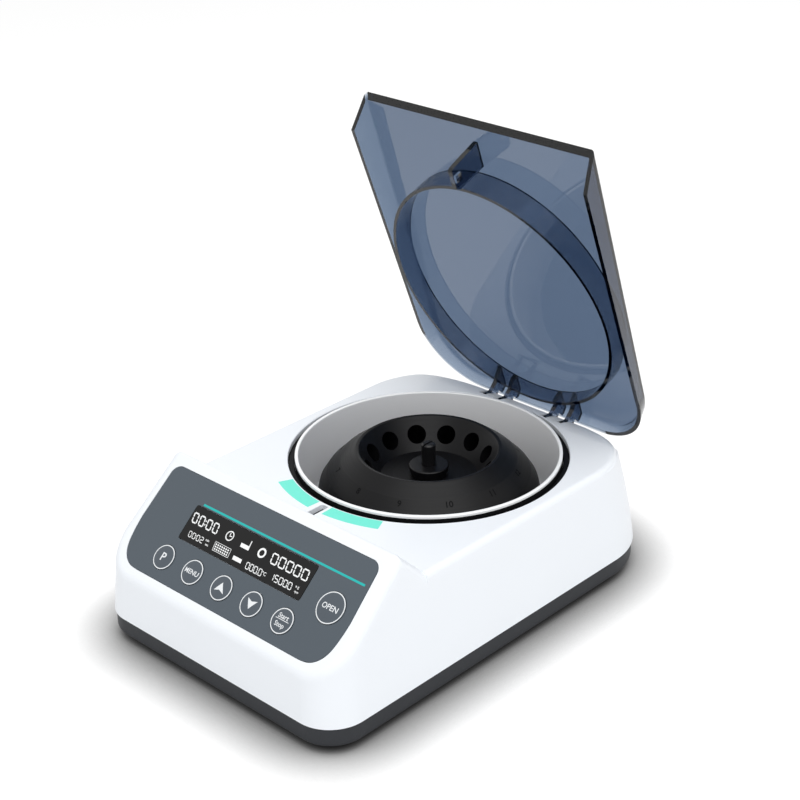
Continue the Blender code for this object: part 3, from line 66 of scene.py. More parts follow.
def plastic(name, colour, roughness, grain_mm, grain_depth, mottle, metallic=0.0, coat=0.0, shine=0.5):
    """Fine grain in relief, its size and depth in mm, a tone that drifts darker by `mottle`, and uneven gloss.

    The drift is about 45 mm from patch to patch, and the gloss wanders by 8 percent either way.
    """
    look = bpy.data.materials.new(name)
    look.use_nodes = True
    tree = look.node_tree
    shader = tree.nodes["Principled BSDF"]
    place = add_node(tree, "ShaderNodeTexCoord").outputs["Object"]
    grain = add_node(tree, "ShaderNodeTexNoise", [(place, "Vector")], Scale=1000 / grain_mm, Detail=3.0)
    slow = add_node(tree, "ShaderNodeTexNoise", [(place, "Vector")], Scale=22.0, Detail=2.0)
    tone = add_node(tree, "ShaderNodeMix", [(slow.outputs["Fac"], "Factor")], data_type="RGBA")
    tone.inputs["A"].default_value = (*[v * (1 - mottle) for v in linear(colour)[:3]], 1.0)
    tone.inputs["B"].default_value = linear(colour)
    gloss = add_node(tree, "ShaderNodeMapRange", [(slow.outputs["Fac"], "Value")])
    gloss.inputs["To Min"].default_value = roughness * 0.92
    gloss.inputs["To Max"].default_value = roughness * 1.08
    relief = add_node(tree, "ShaderNodeBump", [(grain.outputs["Fac"], "Height")], Strength=1.0)
    relief.inputs["Distance"].default_value = grain_depth / 1000
    tree.links.new(tone.outputs["Result"], shader.inputs["Base Color"])
    tree.links.new(gloss.outputs["Result"], shader.inputs["Roughness"])
    tree.links.new(relief.outputs["Normal"], shader.inputs["Normal"])
    shader.inputs["Metallic"].default_value = metallic
    shader.inputs["Coat Weight"].default_value = coat
    shader.inputs["Specular IOR Level"].default_value = shine
    return look


ROTOR_Y, TRAY_Z = 31.71, 4


def surface(name, points, faces, look=None):
    """A mesh object from points in millimetres, measured from the rotor axis and the tray's underside."""
    places = np.asarray(points, dtype=float) / 1000 + (0, ROTOR_Y / 1000, TRAY_Z / 1000)
    mesh = bpy.data.meshes.new(name)
    mesh.from_pydata(places.tolist(), [], [list(map(int, face)) for face in faces])
    mesh.validate()
    if look:
        mesh.materials.append(look)
    thing = bpy.data.objects.new(name, mesh)
    bpy.context.collection.objects.link(thing)
    return thing


def combine(target, tool, operation="DIFFERENCE"):
    """Applies one exact Boolean and throws its tool away."""
    step = target.modifiers.new(tool.name, "BOOLEAN")
    step.solver = "EXACT"
    step.operation = operation
    step.object = tool
    graph = bpy.context.evaluated_depsgraph_get()
    made = bpy.data.meshes.new_from_object(target.evaluated_get(graph))
    target.modifiers.clear()
    target.data = made
    bpy.data.objects.remove(tool, do_unlink=True)


def done(thing, body, angle=35):
    """Smooths a finished piece, keeps its flats flat and lets it ride on a body."""
    thing.data.shade_smooth()
    thing.data.set_sharp_from_angle(angle=math.radians(angle))
    flats = thing.modifiers.new("flats", "WEIGHTED_NORMAL")
    flats.keep_sharp = True
    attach(thing, body)
    return thing


def rows_to_shell(outer, inner):
    """Shell from rings of right-hand points, rim first.

    Each ring is mirrored and joined to the next, the crown is closed across, and the two rims are joined.
    """
    points, faces, rims = [], [], []
    for rings in (outer, inner):
        loops = []
        for ring in rings:
            whole = np.vstack([ring, ring[::-1] * (-1, 1, 1)])
            loops.append(np.arange(len(whole)) + sum(map(len, points)))
            points.append(whole)
        for low, high in zip(loops, loops[1:]):
            faces += np.column_stack([low, np.roll(low, -1), np.roll(high, -1), high]).tolist()
        top = loops[-1]
        half = len(top) // 2
        faces += [[top[i], top[i + 1], top[-i - 2], top[-i - 1]] for i in range(half - 1)]
        rims.append(loops[0])
        if rings is outer:
            count = len(faces)
    faces[count:] = [face[::-1] for face in faces[count:]]
    low, high = rims
    faces += np.column_stack([high, np.roll(high, -1), np.roll(low, -1), low]).tolist()
    return np.vstack(points), faces


def lathed(profile, segments):
    """Closed outline of (radius, height) points turned about the axis; points on the axis become one."""
    profile = np.asarray(profile, dtype=float)
    turns = np.linspace(0, 2 * math.pi, segments, endpoint=False)
    points, index = [], []
    for radius, height in profile:
        start = len(points)
        if radius == 0:
            points.append((0, 0, height))
            index.append(np.full(segments, start))
        else:
            points += [(radius * math.cos(t), radius * math.sin(t), height) for t in turns]
            index.append(np.arange(segments) + start)
    faces = []
    for low, high in zip(index, index[1:] + index[:1]):
        for i in range(segments):
            j = (i + 1) % segments
            face = list(dict.fromkeys([low[i], low[j], high[j], high[i]]))
            if len(face) > 2:
                faces.append(face)
    return np.array(points), faces


def prism(outline, low, high, axis="Z"):
    """Flat outline of two-value points, pulled from low to high along one axis."""
    outline = np.asarray(outline, dtype=float)
    count = len(outline)
    if axis == "X":
        ends = [np.column_stack([np.full(count, v), outline]) for v in (low, high)]
    elif axis == "Y":
        ends = [np.column_stack([outline[:, 0], np.full(count, v), outline[:, 1]]) for v in (low, high)]
    else:
        ends = [np.column_stack([outline, np.full(count, v)]) for v in (low, high)]
    around = [[i, (i + 1) % count, (i + 1) % count + count, i + count] for i in range(count)]
    faces = [list(range(count))[::-1], list(range(count, 2 * count))] + around
    area = np.sum(outline[:, 0] * np.roll(outline[:, 1], -1) - np.roll(outline[:, 0], -1) * outline[:, 1])
    if (area < 0) != (axis == "Y"):
        faces = [face[::-1] for face in faces]
    return np.vstack(ends), faces


def arc(before, corner, after, radius, steps):
    """Points of the arc that rounds one corner of an outline."""
    before, corner, after = (np.asarray(v, dtype=float) for v in (before, corner, after))
    inward = (before - corner) / np.linalg.norm(before - corner)
    onward = (after - corner) / np.linalg.norm(after - corner)
    half = math.acos(np.clip(inward @ onward, -1, 1)) / 2
    middle = corner + (inward + onward) / np.linalg.norm(inward + onward) * radius / math.sin(half)
    first = corner + inward * radius / math.tan(half) - middle
    last = corner + onward * radius / math.tan(half) - middle
    share = np.linspace(0, 1, steps + 1)[:, None]
    sweep = math.pi - 2 * half
    spokes = (np.sin((1 - share) * sweep) * first + np.sin(share * sweep) * last) / math.sin(sweep)
    return middle + spokes


def rounded(points, radius, steps, closed=True):
    """Outline or path with every corner rounded alike."""
    count = len(points)
    corners = range(count) if closed else range(1, count - 1)
    bends = [arc(points[i - 1], points[i], points[(i + 1) % count], radius, steps) for i in corners]
    return np.vstack(bends) if closed else np.vstack([[points[0]], *bends, [points[-1]]])


COVER_FOOT, DECK, RAMP_FOOT = 11.87, 71.3, -95.2
TILT = math.radians(41.71)
PANEL_Y, PANEL_Z = -140.31, 63.53


def housing_plan(height):
    """Half width, front, rear and rear corner radius at a height.

    The sides have a straight draft, the front leans over its lowest 28.1 mm, and the rear eases in by a
    power of 1.5 up to the deck.
    """
    climb = np.clip((height - COVER_FOOT) / 59.43, 0, 1)
    half_width = 91.4 - 0.0752 * (height - COVER_FOOT)
    front = -169.5 + 2.1 * np.clip((height - COVER_FOOT) / 28.1, 0, 1)
    return half_width, front, 104 - 11 * climb ** 1.5, 47 + 3 * climb


def housing_point(kind, value, height, inset):
    """Outline point: front corner arc, side at a depth or rear corner arc, moved in by the inset."""
    half_width, front, rear, rear_radius = housing_plan(height)
    radius = np.where(kind == 0, 22.0, rear_radius)
    middle_y = np.where(kind == 0, front + 22, rear - rear_radius)
    x = half_width - radius + (radius - inset) * np.cos(value)
    y = middle_y + (radius - inset) * np.sin(value)
    return np.where(kind == 1, half_width - inset, x), np.where(kind == 1, value, y)


def side_view(panel_drop, lip_drop, ramp_drop, deck_drop):
    """Side view of the top as (depth, height): panel, lip, ramp, deck, and a slope falling by a power of 1.6."""
    rise = math.tan(TILT)
    lip, deck = 87.6 - lip_drop, DECK - deck_drop
    corners = [
        (-169.5, PANEL_Z + (-169.5 - PANEL_Y) * rise - panel_drop),
        (PANEL_Y + (lip + panel_drop - PANEL_Z) / rise, lip),
        (RAMP_FOOT - (lip + ramp_drop - DECK), lip),
        (RAMP_FOOT - (deck + ramp_drop - DECK), deck),
        (72, deck),
    ]
    share = np.linspace(0, 1, 33)[1:, None]
    slope = np.hstack([72 + 21 * share, deck - 5.3 * share ** 1.6])
    return np.vstack([rounded(corners, 1.4, 6, closed=False), slope])


def housing_rings(path, inset, fillet):
    """Rings up the wall, then a rounded edge of width and drop `fillet` that follows the side view."""
    kinks = path[(path[:, 0] > -140) & (path[:, 0] < 0), 0]
    corners = np.linspace(-math.pi / 2, 0, 25)
    sides = np.concatenate([np.linspace(-143, -118, 6), kinks, np.linspace(-88, 38, 22)])
    backs = np.linspace(0, math.pi / 2, 49)
    kind = np.repeat([0, 1, 2], [len(corners), len(sides), len(backs)])
    value = np.concatenate([corners, sides, backs])
    top = np.full(len(kind), DECK)
    for _ in range(8):
        top = np.interp(housing_point(kind, value, top, inset)[1], path[:, 0], path[:, 1])
    edge = fillet(housing_point(kind, value, top, inset)[1])
    rings = []
    for share in np.linspace(0, 1, 16):
        height = COVER_FOOT + (top - edge - COVER_FOOT) * share
        rings.append(np.column_stack([*housing_point(kind, value, height, inset), height]))
    for angle in np.linspace(0, math.pi / 2, 11)[1:]:
        x, y = housing_point(kind, value, top, inset + edge * (1 - math.cos(angle)))
        z = np.interp(y, path[:, 0], path[:, 1]) - edge * (1 - math.sin(angle))
        rings.append(np.column_stack([x, y, z]))
    return rings


def edge_rounding(y):
    """2.2 mm at the front growing to 5.8 mm beside the panel, 3.4 mm on the deck growing to 7.8 mm at the back."""
    front = 2.2 + 3.6 * np.clip((y + 167.4) / 22, 0, 1)
    return np.where(y < RAMP_FOOT, front, 3.4 + 4.4 * np.clip((y - 72) / 21, 0, 1))


def on_panel(points):
    """Panel coordinates (across, up the slope, out of it) to machine coordinates."""
    x, s, w = np.asarray(points, dtype=float).T
    y = PANEL_Y + s * math.cos(TILT) - w * math.sin(TILT)
    z = PANEL_Z + s * math.sin(TILT) + w * math.cos(TILT)
    return np.column_stack([x, y, z])


def flowing(points, steps):
    """Curve through points: between two of them a cubic whose slopes point along the neighbours' chord."""
    points = np.asarray(points, dtype=float)
    share = np.linspace(0, 1, steps, endpoint=False)[:, None]
    pieces = []
    for before, start, stop, after in zip(points, points[1:], points[2:], points[3:]):
        leave, arrive = (stop - before) / 2, (after - start) / 2
        pieces.append((2 * share ** 3 - 3 * share ** 2 + 1) * start
                      + (share ** 3 - 2 * share ** 2 + share) * leave
                      + (3 * share ** 2 - 2 * share ** 3) * stop
                      + (share ** 3 - share ** 2) * arrive)
    return np.vstack([*pieces, points[-2:-1]])


def plate_outline(grow):
    """Fascia outline: straight top, sides that bulge a little, deep soft corners at the foot."""
    right = [(53, -30.1), (62.1, -30.1), (68.6, -29.3), (73.5, -26.5),
             (77.0, -21.5), (78.8, -14.2), (79.6, -3), (79.3, 10)]
    right = flowing(right, 6) + (grow, 0)
    right[:, 1] -= grow * np.clip((right[:, 1] + 10) / -20, 0, 1)
    right = np.vstack([right, arc(right[-1], (78 + grow, 30.1 + grow), (0, 30.1 + grow), 6 + grow, 8)])
    return np.vstack([right, right[::-1] * (-1, 1)])


# White ABS from a finely sparked tool: a faint satin grain and soft, wide highlights.
cover_look = plastic("white_housing_moulding", "F0F4F9", 0.36, 0.55, 0.004, 0.02, coat=0.1)
outer_rings = housing_rings(side_view(0, 0, 0, 0), 0.0, edge_rounding)
inner_rings = housing_rings(side_view(4.82, 5.2, 4.24, 3.0), 3.0, lambda y: np.full_like(y, 0.8))
cover = surface("cover", *rows_to_shell(outer_rings, inner_rings), cover_look)
opening = [(0, 60), (79.5, 60), (79.5, 70.9), (80.1, 71.6), (80.1, 95), (0, 95)]
combine(cover, surface("hole", *lathed(opening, 256)))
latch_slot = rounded([(-2.4, -98), (2.4, -98), (2.4, -81.2), (-2.4, -81.2)], 1.0, 5)
combine(cover, surface("latch", *prism(latch_slot, 60, 95)))
for side in (-1, 1):
    near, far = sorted((side * 15.4, side * 31.6))
    combine(cover, surface("pocket", *prism([(near, 78.9), (far, 78.9), (far, 125), (near, 125)], 58.5, 95)))
points, faces = prism(plate_outline(0.3), -1.7, 20)
combine(cover, surface("panel_pocket", on_panel(points), faces))
aperture = rounded([(-45.75, -2.05), (41.75, -2.05), (41.75, 12.45), (-45.75, 12.45)], 1, 4)
points, faces = prism(aperture, -20, 20)
combine(cover, surface("aperture", on_panel(points), faces))


def on_back(points):
    """Coordinates on the leaning back (across, outwards, up it) to machine coordinates."""
    x, y, z = np.asarray(points, dtype=float).T
    lean = math.radians(7.735)
    return np.column_stack([x, 102.887 + y * math.cos(lean) - z * math.sin(lean),
                            27 + y * math.sin(lean) + z * math.cos(lean)])


for x, half_width, half_height in ((0, 13.7, 9.9), (36, 6.6, 9.6)):
    points, faces = prism([(x - half_width, -half_height), (x + half_width, -half_height),
                           (x + half_width, half_height), (x - half_width, half_height)], -12, 12, "Y")
    combine(cover, surface("back_cut", on_back(points), faces))
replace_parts(done(cover, "base"), "housing_cover")


# Deck pads.
# Two thin turquoise pads bonded to the deck, left and right of the latch slot, following the
# chamber's edge; they are plain.

# Printed polyester film: even, bright and nearly matt.
pad_look = plastic("turquoise_pads", "74EBD6", 0.45, 0.3, 0.001, 0.03, shine=0.3)
for name, start, stop in (("pad_left", -115.6, -94.0), ("pad_right", -87.0, -64.6)):
    turns = np.radians(np.linspace(start, stop, 33))[:, None]
    spokes = np.hstack([np.cos(turns), np.sin(turns)])
    points, faces = prism(np.vstack([spokes * 88.8, spokes[::-1] * 80.4]), 71.25, 71.4)
    done(surface(name, points, faces, pad_look), "base")


# Base tray.
# Dark grey moulding whose straight rim shows all round below the cover, with a tucked lower edge,
# cooling slots underneath and shallow recesses for the feet.

# Dark ABS from a coarser tool: a deeper grain that breaks the highlights up.
base_look = plastic("dark_grey_base_moulding", "2E3034", 0.5, 0.5, 0.012, 0.08, shine=0.3)


def disc(radius, segments, centre=(0, 0)):
    """Points on a circle, anticlockwise."""
    turns = np.linspace(0, 2 * math.pi, segments, endpoint=False)
    return np.column_stack([centre[0] + radius * np.cos(turns), centre[1] + radius * np.sin(turns)])


def dress(look, *names):
    """Gives CAD nodes that keep their own mesh a material."""
    for name in names:
        nodes[name].data.materials.clear()
        nodes[name].data.materials.append(look)


def tray_rings(inset, foot, edge, steps):
    """Rings of the cover's border outline, straight down and then round the lower edge."""
    kind = np.repeat([0, 1, 2], [25, 8, 49])
    value = np.concatenate([np.linspace(-math.pi / 2, 0, 25), np.linspace(-140, 40, 8),
                            np.linspace(0, math.pi / 2, 49)])
    rings = []
    for angle in [None, *np.linspace(0, math.pi / 2, steps)]:
        extra = 0 if angle is None else edge * (1 - math.cos(angle))
        height = 11.57 if angle is None else foot + edge * (1 - math.sin(angle))
        x, y = housing_point(kind, value, np.full(len(kind), COVER_FOOT), inset + extra)
        rings.append(np.column_stack([x, y, np.full(len(kind), height)]))
    return rings


points, faces = rows_to_shell(tray_rings(0.8, 0, 3, 11), tray_rings(4, 3, 1.5, 5))
tray = surface("tray", points, [face[::-1] for face in faces], base_look)
for x in (-70, 70):
    for y in (-140, 60):
        combine(tray, surface("recess", *prism(disc(8.3, 64, (x, y)), -5, 1)))
for x in range(-27, 28, 9):
    slot = rounded([(x - 1.5, -88), (x + 1.5, -88), (x + 1.5, -56), (x - 1.5, -56)], 1.4, 6)
    combine(tray, surface("vent", *prism(slot, -5, 5)))
for x in (-49, 49):
    for y in (-150, -111):
        combine(tray, surface("boss", *prism(disc(4, 32, (x, y)), 1.5, 6)), "UNION")
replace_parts(done(tray, "base"), "base_tray")
# Moulded rubber: dull, slightly rough and uneven in tone.
rubber_look = plastic("black_rubber_feet", "1B1B1D", 0.8, 0.8, 0.02, 0.1)
dress(rubber_look, *[name for name in nodes if name.startswith(("foot", "motor_mount"))])


# Control panel.
# Blue-grey fascia with a dark display window, a fine teal rule and round domed keys in white rings.

# Printed polycarbonate sheet: flat blue-grey with a fine velvet grain.
plate_look = plastic("grey_fascia_sheet", "4C555D", 0.42, 0.35, 0.003, 0.03, shine=0.4)
points, faces = prism(plate_outline(0), -1.4, 0)
plate = surface("fascia", on_panel(points), faces, plate_look)
keys = {"key_program": (-49.6, -17.6, 7.0), "key_menu": (-26.65, -17.6, 7.0), "key_up": (-3.7, -17.6, 7.0),
        "key_down": (19.25, -17.6, 7.0), "key_start_stop": (42.2, -17.6, 7.0), "key_open": (64.5, -0.6, 8.65)}
for x, s, radius in keys.values():
    points, faces = prism(disc(radius + 0.3, 96, (x, s)), -5, 5)
    combine(plate, surface("key_hole", on_panel(points), faces))
window_outline = [(-48.55, -4.85), (44.55, -4.85), (44.55, 15.25), (-48.55, 15.25)]
wider = [(x + 0.3 * np.sign(x), s + 0.3 * np.sign(s)) for x, s in window_outline]
points, faces = prism(rounded(wider, 1.9, 6), -5, 5)
combine(plate, surface("window_hole", on_panel(points), faces))
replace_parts(done(plate, "base"), "panel_plate")


def together(parts):
    """Several lots of points and faces as one."""
    points, faces = [], []
    for more, their_faces in parts:
        faces += [[int(i) + sum(map(len, points)) for i in face] for face in their_faces]
        points.append(np.asarray(more, dtype=float))
    return np.vstack(points), faces


# Tinted acrylic under a thin film with sharp corners: near-black and glossy.
window_look = plastic("dark_display_window", "0B0B0C", 0.14, 2.0, 0.0005, 0.02, shine=0.28)
points, faces = together([prism(rounded(window_outline, 1.6, 6), -1.4, 0),
                          prism(rounded(window_outline, 0.2, 2), 0.01, 0.05)])
window = surface("window", on_panel(points), faces, window_look)
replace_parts(done(window, "base"), "display_window")

# Screen-printed ink, drawn thicker than real ink so that it shows.
rule_look = plastic("teal_rule_ink", "25B4B0", 0.4, 0.3, 0.001, 0.04, shine=0.3)
INK = 0.05


def flat(*outline):
    """One printed mark from the corners of its outline."""
    return prism(outline, -INK, INK)


points, faces = flat((-44.8, 16.2), (75.7, 16.2), (75.7, 17.4), (-44.8, 17.4))
done(surface("teal_rule", on_panel(points), faces, rule_look), "base")


def band(radius, stroke, segments=64, centre=(0, 0)):
    """Flat ring of one stroke's width."""
    section = [(radius - stroke, -INK), (radius, -INK), (radius, INK), (radius - stroke, INK)]
    points, faces = lathed(section, segments)
    return points + (*centre, 0), faces


def words(text, height, middle, slant=0.0):
    """Thin raised lettering centred on a point, its capitals of one height; a slant moves x by that share of s.

    A capital of the font is 0.69 of its size.
    """
    curve = bpy.data.curves.new("lettering", "FONT")
    curve.body = text
    curve.align_x = "CENTER"
    curve.resolution_u = 3
    curve.extrude = 0.5
    curve.offset = 0.012
    thing = bpy.data.objects.new("lettering", curve)
    bpy.context.collection.objects.link(thing)
    mesh = bpy.data.meshes.new_from_object(thing.evaluated_get(bpy.context.evaluated_depsgraph_get()))
    points = np.array([v.co for v in mesh.vertices])
    faces = [list(face.vertices) for face in mesh.polygons]
    bpy.data.objects.remove(thing, do_unlink=True)
    size = height / 0.69
    x, y, z = points.T
    y = (y - 0.345) * size
    return np.column_stack([middle[0] + x * size + slant * y, middle[1] + y, z * 0.1]), faces


BARS = {"0": "abcdef", "1": "bc", "2": "abged", "5": "afgcd"}


def figures(text, left, foot, width, height, pitch, stroke, slant):
    """Seven-bar figures: each lit bar is a strip with pointed ends, its x shifted by slant times its height."""
    half, middle = stroke / 2, height / 2
    ends = {"a": (0, height, width, height), "g": (0, middle, width, middle), "d": (0, 0, width, 0),
            "f": (0, middle, 0, height), "e": (0, 0, 0, middle),
            "b": (width, middle, width, height), "c": (width, 0, width, middle)}
    parts, at = [], left
    for sign in text:
        if sign in ":.":
            dot = np.array([(0, 0), (stroke, 0), (stroke, stroke), (0, stroke)])
            for rise in ((0.3, 0.7) if sign == ":" else (0,)):
                parts.append(dot + (at - pitch * 0.2, height * rise - half))
            at += pitch * 0.14
            continue
        for bar in BARS[sign]:
            x0, y0, x1, y1 = ends[bar]
            along = np.sign([x1 - x0, y1 - y0])
            aside = along[::-1] * half
            gap = along * stroke * 0.12
            start, stop = np.array([x0, y0]) + gap, np.array([x1, y1]) - gap
            bevel = along * half
            parts.append(np.array([start, start + bevel - aside, stop - bevel - aside, stop,
                                   stop - bevel + aside, start + bevel + aside]) + (at, 0))
        at += pitch
    strips = []
    for outline in parts:
        shift = np.column_stack([slant * (outline[:, 1] - middle), np.full(len(outline), foot)])
        strips.append(flat(*(outline + shift)))
    return together(strips)


def finer(points, faces, longest):
    """The same surface in triangles with no edge longer than a given length, so that it can follow a dome."""
    mesh = bmesh.new()
    corners = [mesh.verts.new(point) for point in points]
    for face in faces:
        mesh.faces.new([corners[i] for i in face])
    for _ in range(6):
        bmesh.ops.triangulate(mesh, faces=mesh.faces)
        long = [edge for edge in mesh.edges if edge.calc_length() > longest]
        bmesh.ops.subdivide_edges(mesh, edges=long, cuts=1)
    bmesh.ops.triangulate(mesh, faces=mesh.faces)
    mesh.verts.index_update()
    made = np.array([v.co for v in mesh.verts]), [[v.index for v in face.verts] for face in mesh.faces]
    mesh.free()
    return made


LEAN = -0.2
# Lit segments, drawn on the window's face: plain white with hardly any gloss.
display_look = plastic("lit_display_figures", "F4F6F6", 0.5, 0.4, 0.0, 0.01, shine=0.2)
shapes = [
    figures("00:00", -46.6, 5.9, 3.3, 5.2, 5.15, 0.75, LEAN),
    figures("00000", 15.2, 5.5, 3.9, 5.3, 5.65, 0.75, LEAN),
    figures("00:02", -43.2, -1.9, 1.9, 3.0, 2.95, 0.42, LEAN),
    figures("000.0", 2.7, -2.9, 2.1, 3.4, 3.0, 0.45, LEAN),
    figures("15000", 20.4, -2.1, 2.3, 3.5, 3.3, 0.48, LEAN),
    words("min", 1.3, (-29.3, 0.9), LEAN), words("sec", 1.3, (-28.2, -1.3), LEAN),
    words("\u00b0C", 1.9, (16.0, -0.9), LEAN),
    words("x g", 1.4, (39.3, 1.1), LEAN), words("rpm", 1.2, (40.4, -1.5), LEAN),
    band(2.8, 0.6, centre=(-17.4, 8.3)), flat((-17.6, 8.0), (-17.1, 8.0), (-17.4, 10.1), (-17.9, 10.1)),
    flat((-17.6, 7.9), (-15.7, 8.2), (-15.7, 8.7), (-17.6, 8.4)),
    band(2.75, 1.05, centre=(7.6, 8.0)), flat((-7.6, 5.8), (-1.2, 5.8), (-1.6, 8.0), (-8.0, 8.0)),
    flat((-2.2, 8.0), (-1.6, 8.0), (-1.9, 11.0), (-2.5, 11.2)),
    flat((-7.7, -1.9), (-1.3, -1.9), (-1.7, 0.3), (-8.1, 0.3)),
]
for column in range(7):
    for row in range(3):
        x, s = -22.4 + 1.55 * column - 0.25 * row, -1.75 + 1.3 * row
        shapes.append(flat((x, s), (x + 1.0, s), (x + 0.85, s + 0.8), (x - 0.15, s + 0.8)))
for x0, s0, x1, s1 in ((-23.2, -2.5, -10.9, -2.5), (-23.9, 2.3, -11.7, 2.3)):
    shapes.append(flat((x0, s0), (x1, s1), (x1, s1 + 0.25), (x0, s0 + 0.25)))
for x in (-23.2, -11.1):
    shapes.append(flat((x, -2.5), (x + 0.25, -2.5), (x - 0.45, 2.4), (x - 0.7, 2.4)))
points, faces = together(shapes)
points[:, 2] = np.where(points[:, 2] > 0, 0.1, 0.02)
display = surface("display_figures", on_panel(points), faces, display_look)
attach(display, "base")

# Keycaps in the fascia's grey, moulded and a little glossier; their print is a matt white ink.
key_look = plastic("key_grey_caps", "4C545C", 0.36, 0.5, 0.004, 0.03, shine=0.4)
ink_look = plastic("white_key_print", "E6E9EB", 0.45, 0.3, 0.001, 0.02, shine=0.3)


def dome(x, s, radius):
    """Height of a key's cap: 0.4 mm at the rim, 0.6 mm more in the middle, falling with the distance squared."""
    return 0.4 + 0.6 * np.clip(1 - (x ** 2 + s ** 2) / (radius - 0.5) ** 2, 0, 1)


arrow = [(-0.2, 2.9), (-3.5, -2.5), (0, -1.3), (3.5, -2.5)]
legends = {
    "key_program": [words("P", 4.6, (0, 0))], "key_menu": [words("MENU", 2.6, (0, 0))],
    "key_up": [flat(*arrow)], "key_down": [flat(*[(-x, -s) for x, s in arrow])],
    "key_start_stop": [words("Start", 2.5, (0, 2.35)), words("Stop", 2.5, (0, -2.15)),
                       flat((-4.6, 0.25), (4.6, 0.25), (4.6, 0.6), (-4.6, 0.6))],
    "key_open": [words("OPEN", 2.9, (0, 0))],
}
for name, (x, s, radius) in keys.items():
    reach = (radius - 0.5) * (1 - np.linspace(0, 1, 9))
    cap_top = np.column_stack([reach, dome(reach, 0, radius)])
    edge = arc((radius, -0.6), (radius, 0.4), (radius - 2, 0.45), 0.35, 5)
    points, faces = lathed([(0, -6.1), (2.4, -6.1), (2.4, -0.6), (radius, -0.6), *edge, *cap_top[1:]], 96)
    cap = surface(name + "_cap", on_panel(points + (x, s, 0)), faces, key_look)
    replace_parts(done(cap, name), name)
    points, faces = finer(*together(legends[name] + [band(radius - 0.1, 0.55, 96)]), 0.9)
    points[:, 2] += dome(points[:, 0], points[:, 1], radius)
    legend = surface(name + "_print", on_panel(points + (x, s, 0)), faces, ink_look)
    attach(legend, name)


# Rotor chamber, seal and drive.
# Deep light grey bowl with a raised white rim, a black rubber seal in the gap round it,
# and below it a flat motor whose slotted steel spindle carries the rotor.

# Painted aluminium: an even light grey with a soft orange-peel skin.
bowl_look = plastic("bowl_light_grey_paint", "F4F5F7", 0.34, 0.9, 0.004, 0.03, coat=0.1)
knee = [(75.56 - 6.5 * (1 - math.cos(a)), 34 - 7.0 * math.sin(a)) for a in np.linspace(math.pi / 2, 0, 10)]
bend = [(73.5 - 7.5 * (1 - math.cos(a)), 35.5 - 7.5 * math.sin(a)) for a in np.linspace(0, math.pi / 2, 12)]
rim = [(75.56, 71.6), *arc((75.56, 70), (75.56, 73.3), (73.5, 73.3), 0.7, 5),
       *arc((75.56, 73.3), (73.5, 73.3), (73.5, 70), 0.7, 5)]
points, faces = lathed([(12, 26), (68.5, 26), *knee[1:], (75.56, 64), (80.5, 64), (80.5, 66.6), (79.5, 66.6),
                        (79.5, 66), (75.56, 66), *rim, *bend, (12, 28)], 256)
bowl = surface("bowl", points, faces, bowl_look)
# The rim is enamelled white and catches a thin bright line; the seal is dull moulded rubber.
rim_look = plastic("rim_white_enamel", "FAFBFC", 0.25, 0.9, 0.002, 0.01, coat=0.3)
seal_and_gap_shade_look = plastic("seal_black_rubber_and_gap_shade", "08080A", 0.6, 0.6, 0.01, 0.05, shine=0.2)
points, faces = lathed([(75.86, 66.3), (79.2, 66.3), *arc((79.2, 66.3), (79.2, 68.5), (75.86, 68.5), 0.5, 4),
                        *arc((79.2, 68.5), (75.86, 68.5), (75.86, 66.3), 0.5, 4)], 256)
# The seal's black also goes on the bowl's outer wall beside it, as painted shade of the narrow gap.
for look in (rim_look, seal_and_gap_shade_look):
    bowl.data.materials.append(look)
RIM_SLOT, SHADE_PAINTED_WALL_SLOT = 1, 2
# Faces on the outer wall by the seal take the seal's black: painted shade, not the wall's own colour.
for face in bowl.data.polygons:
    x, y, z = face.center * 1000
    if z - TRAY_Z > 71.6 and math.hypot(x, y - ROTOR_Y) > 73.6:
        face.material_index = RIM_SLOT
    elif z - TRAY_Z > 66 and math.hypot(x, y - ROTOR_Y) > 75.2:
        face.material_index = SHADE_PAINTED_WALL_SLOT
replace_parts(done(bowl, "base"), "rotor_chamber")
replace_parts(done(surface("seal", points, faces, seal_and_gap_shade_look), "base"), "bowl_gasket")


def turned(name, colour, roughness, pitch_mm, depth, shine):
    """Lathe-turned surface: fine rings about the rotor axis in relief and in gloss, over a slow change of tone."""
    look = plastic(name, colour, roughness, pitch_mm, depth, 0.1, shine=shine)
    tree = look.node_tree
    place = add_node(tree, "ShaderNodeTexCoord").outputs["Object"]
    centred = add_node(tree, "ShaderNodeMapping", [(place, "Vector")], vector_type="POINT")
    centred.inputs["Location"].default_value = (0, -ROTOR_Y / 1000, 0)
    split = add_node(tree, "ShaderNodeSeparateXYZ", [(centred.outputs["Vector"], "Vector")])
    spoke = add_node(tree, "ShaderNodeCombineXYZ", [(split.outputs["X"], "X"), (split.outputs["Y"], "Y")])
    reach = add_node(tree, "ShaderNodeVectorMath", [(spoke.outputs["Vector"], 0)], operation="LENGTH")
    ring = add_node(tree, "ShaderNodeCombineXYZ", [(reach.outputs["Value"], "X"), (split.outputs["Z"], "Z")])
    cuts = add_node(tree, "ShaderNodeTexNoise", [(ring.outputs["Vector"], "Vector")],
                    Scale=1000 / pitch_mm, Detail=2.0)
    relief = add_node(tree, "ShaderNodeBump", [(cuts.outputs["Fac"], "Height")], Strength=1.0)
    relief.inputs["Distance"].default_value = depth / 1000
    gloss = add_node(tree, "ShaderNodeMapRange", [(cuts.outputs["Fac"], "Value")])
    gloss.inputs["To Min"].default_value = roughness * 0.75
    gloss.inputs["To Max"].default_value = roughness * 1.25
    shader = tree.nodes["Principled BSDF"]
    tree.links.new(relief.outputs["Normal"], shader.inputs["Normal"])
    tree.links.new(gloss.outputs["Result"], shader.inputs["Roughness"])
    return look


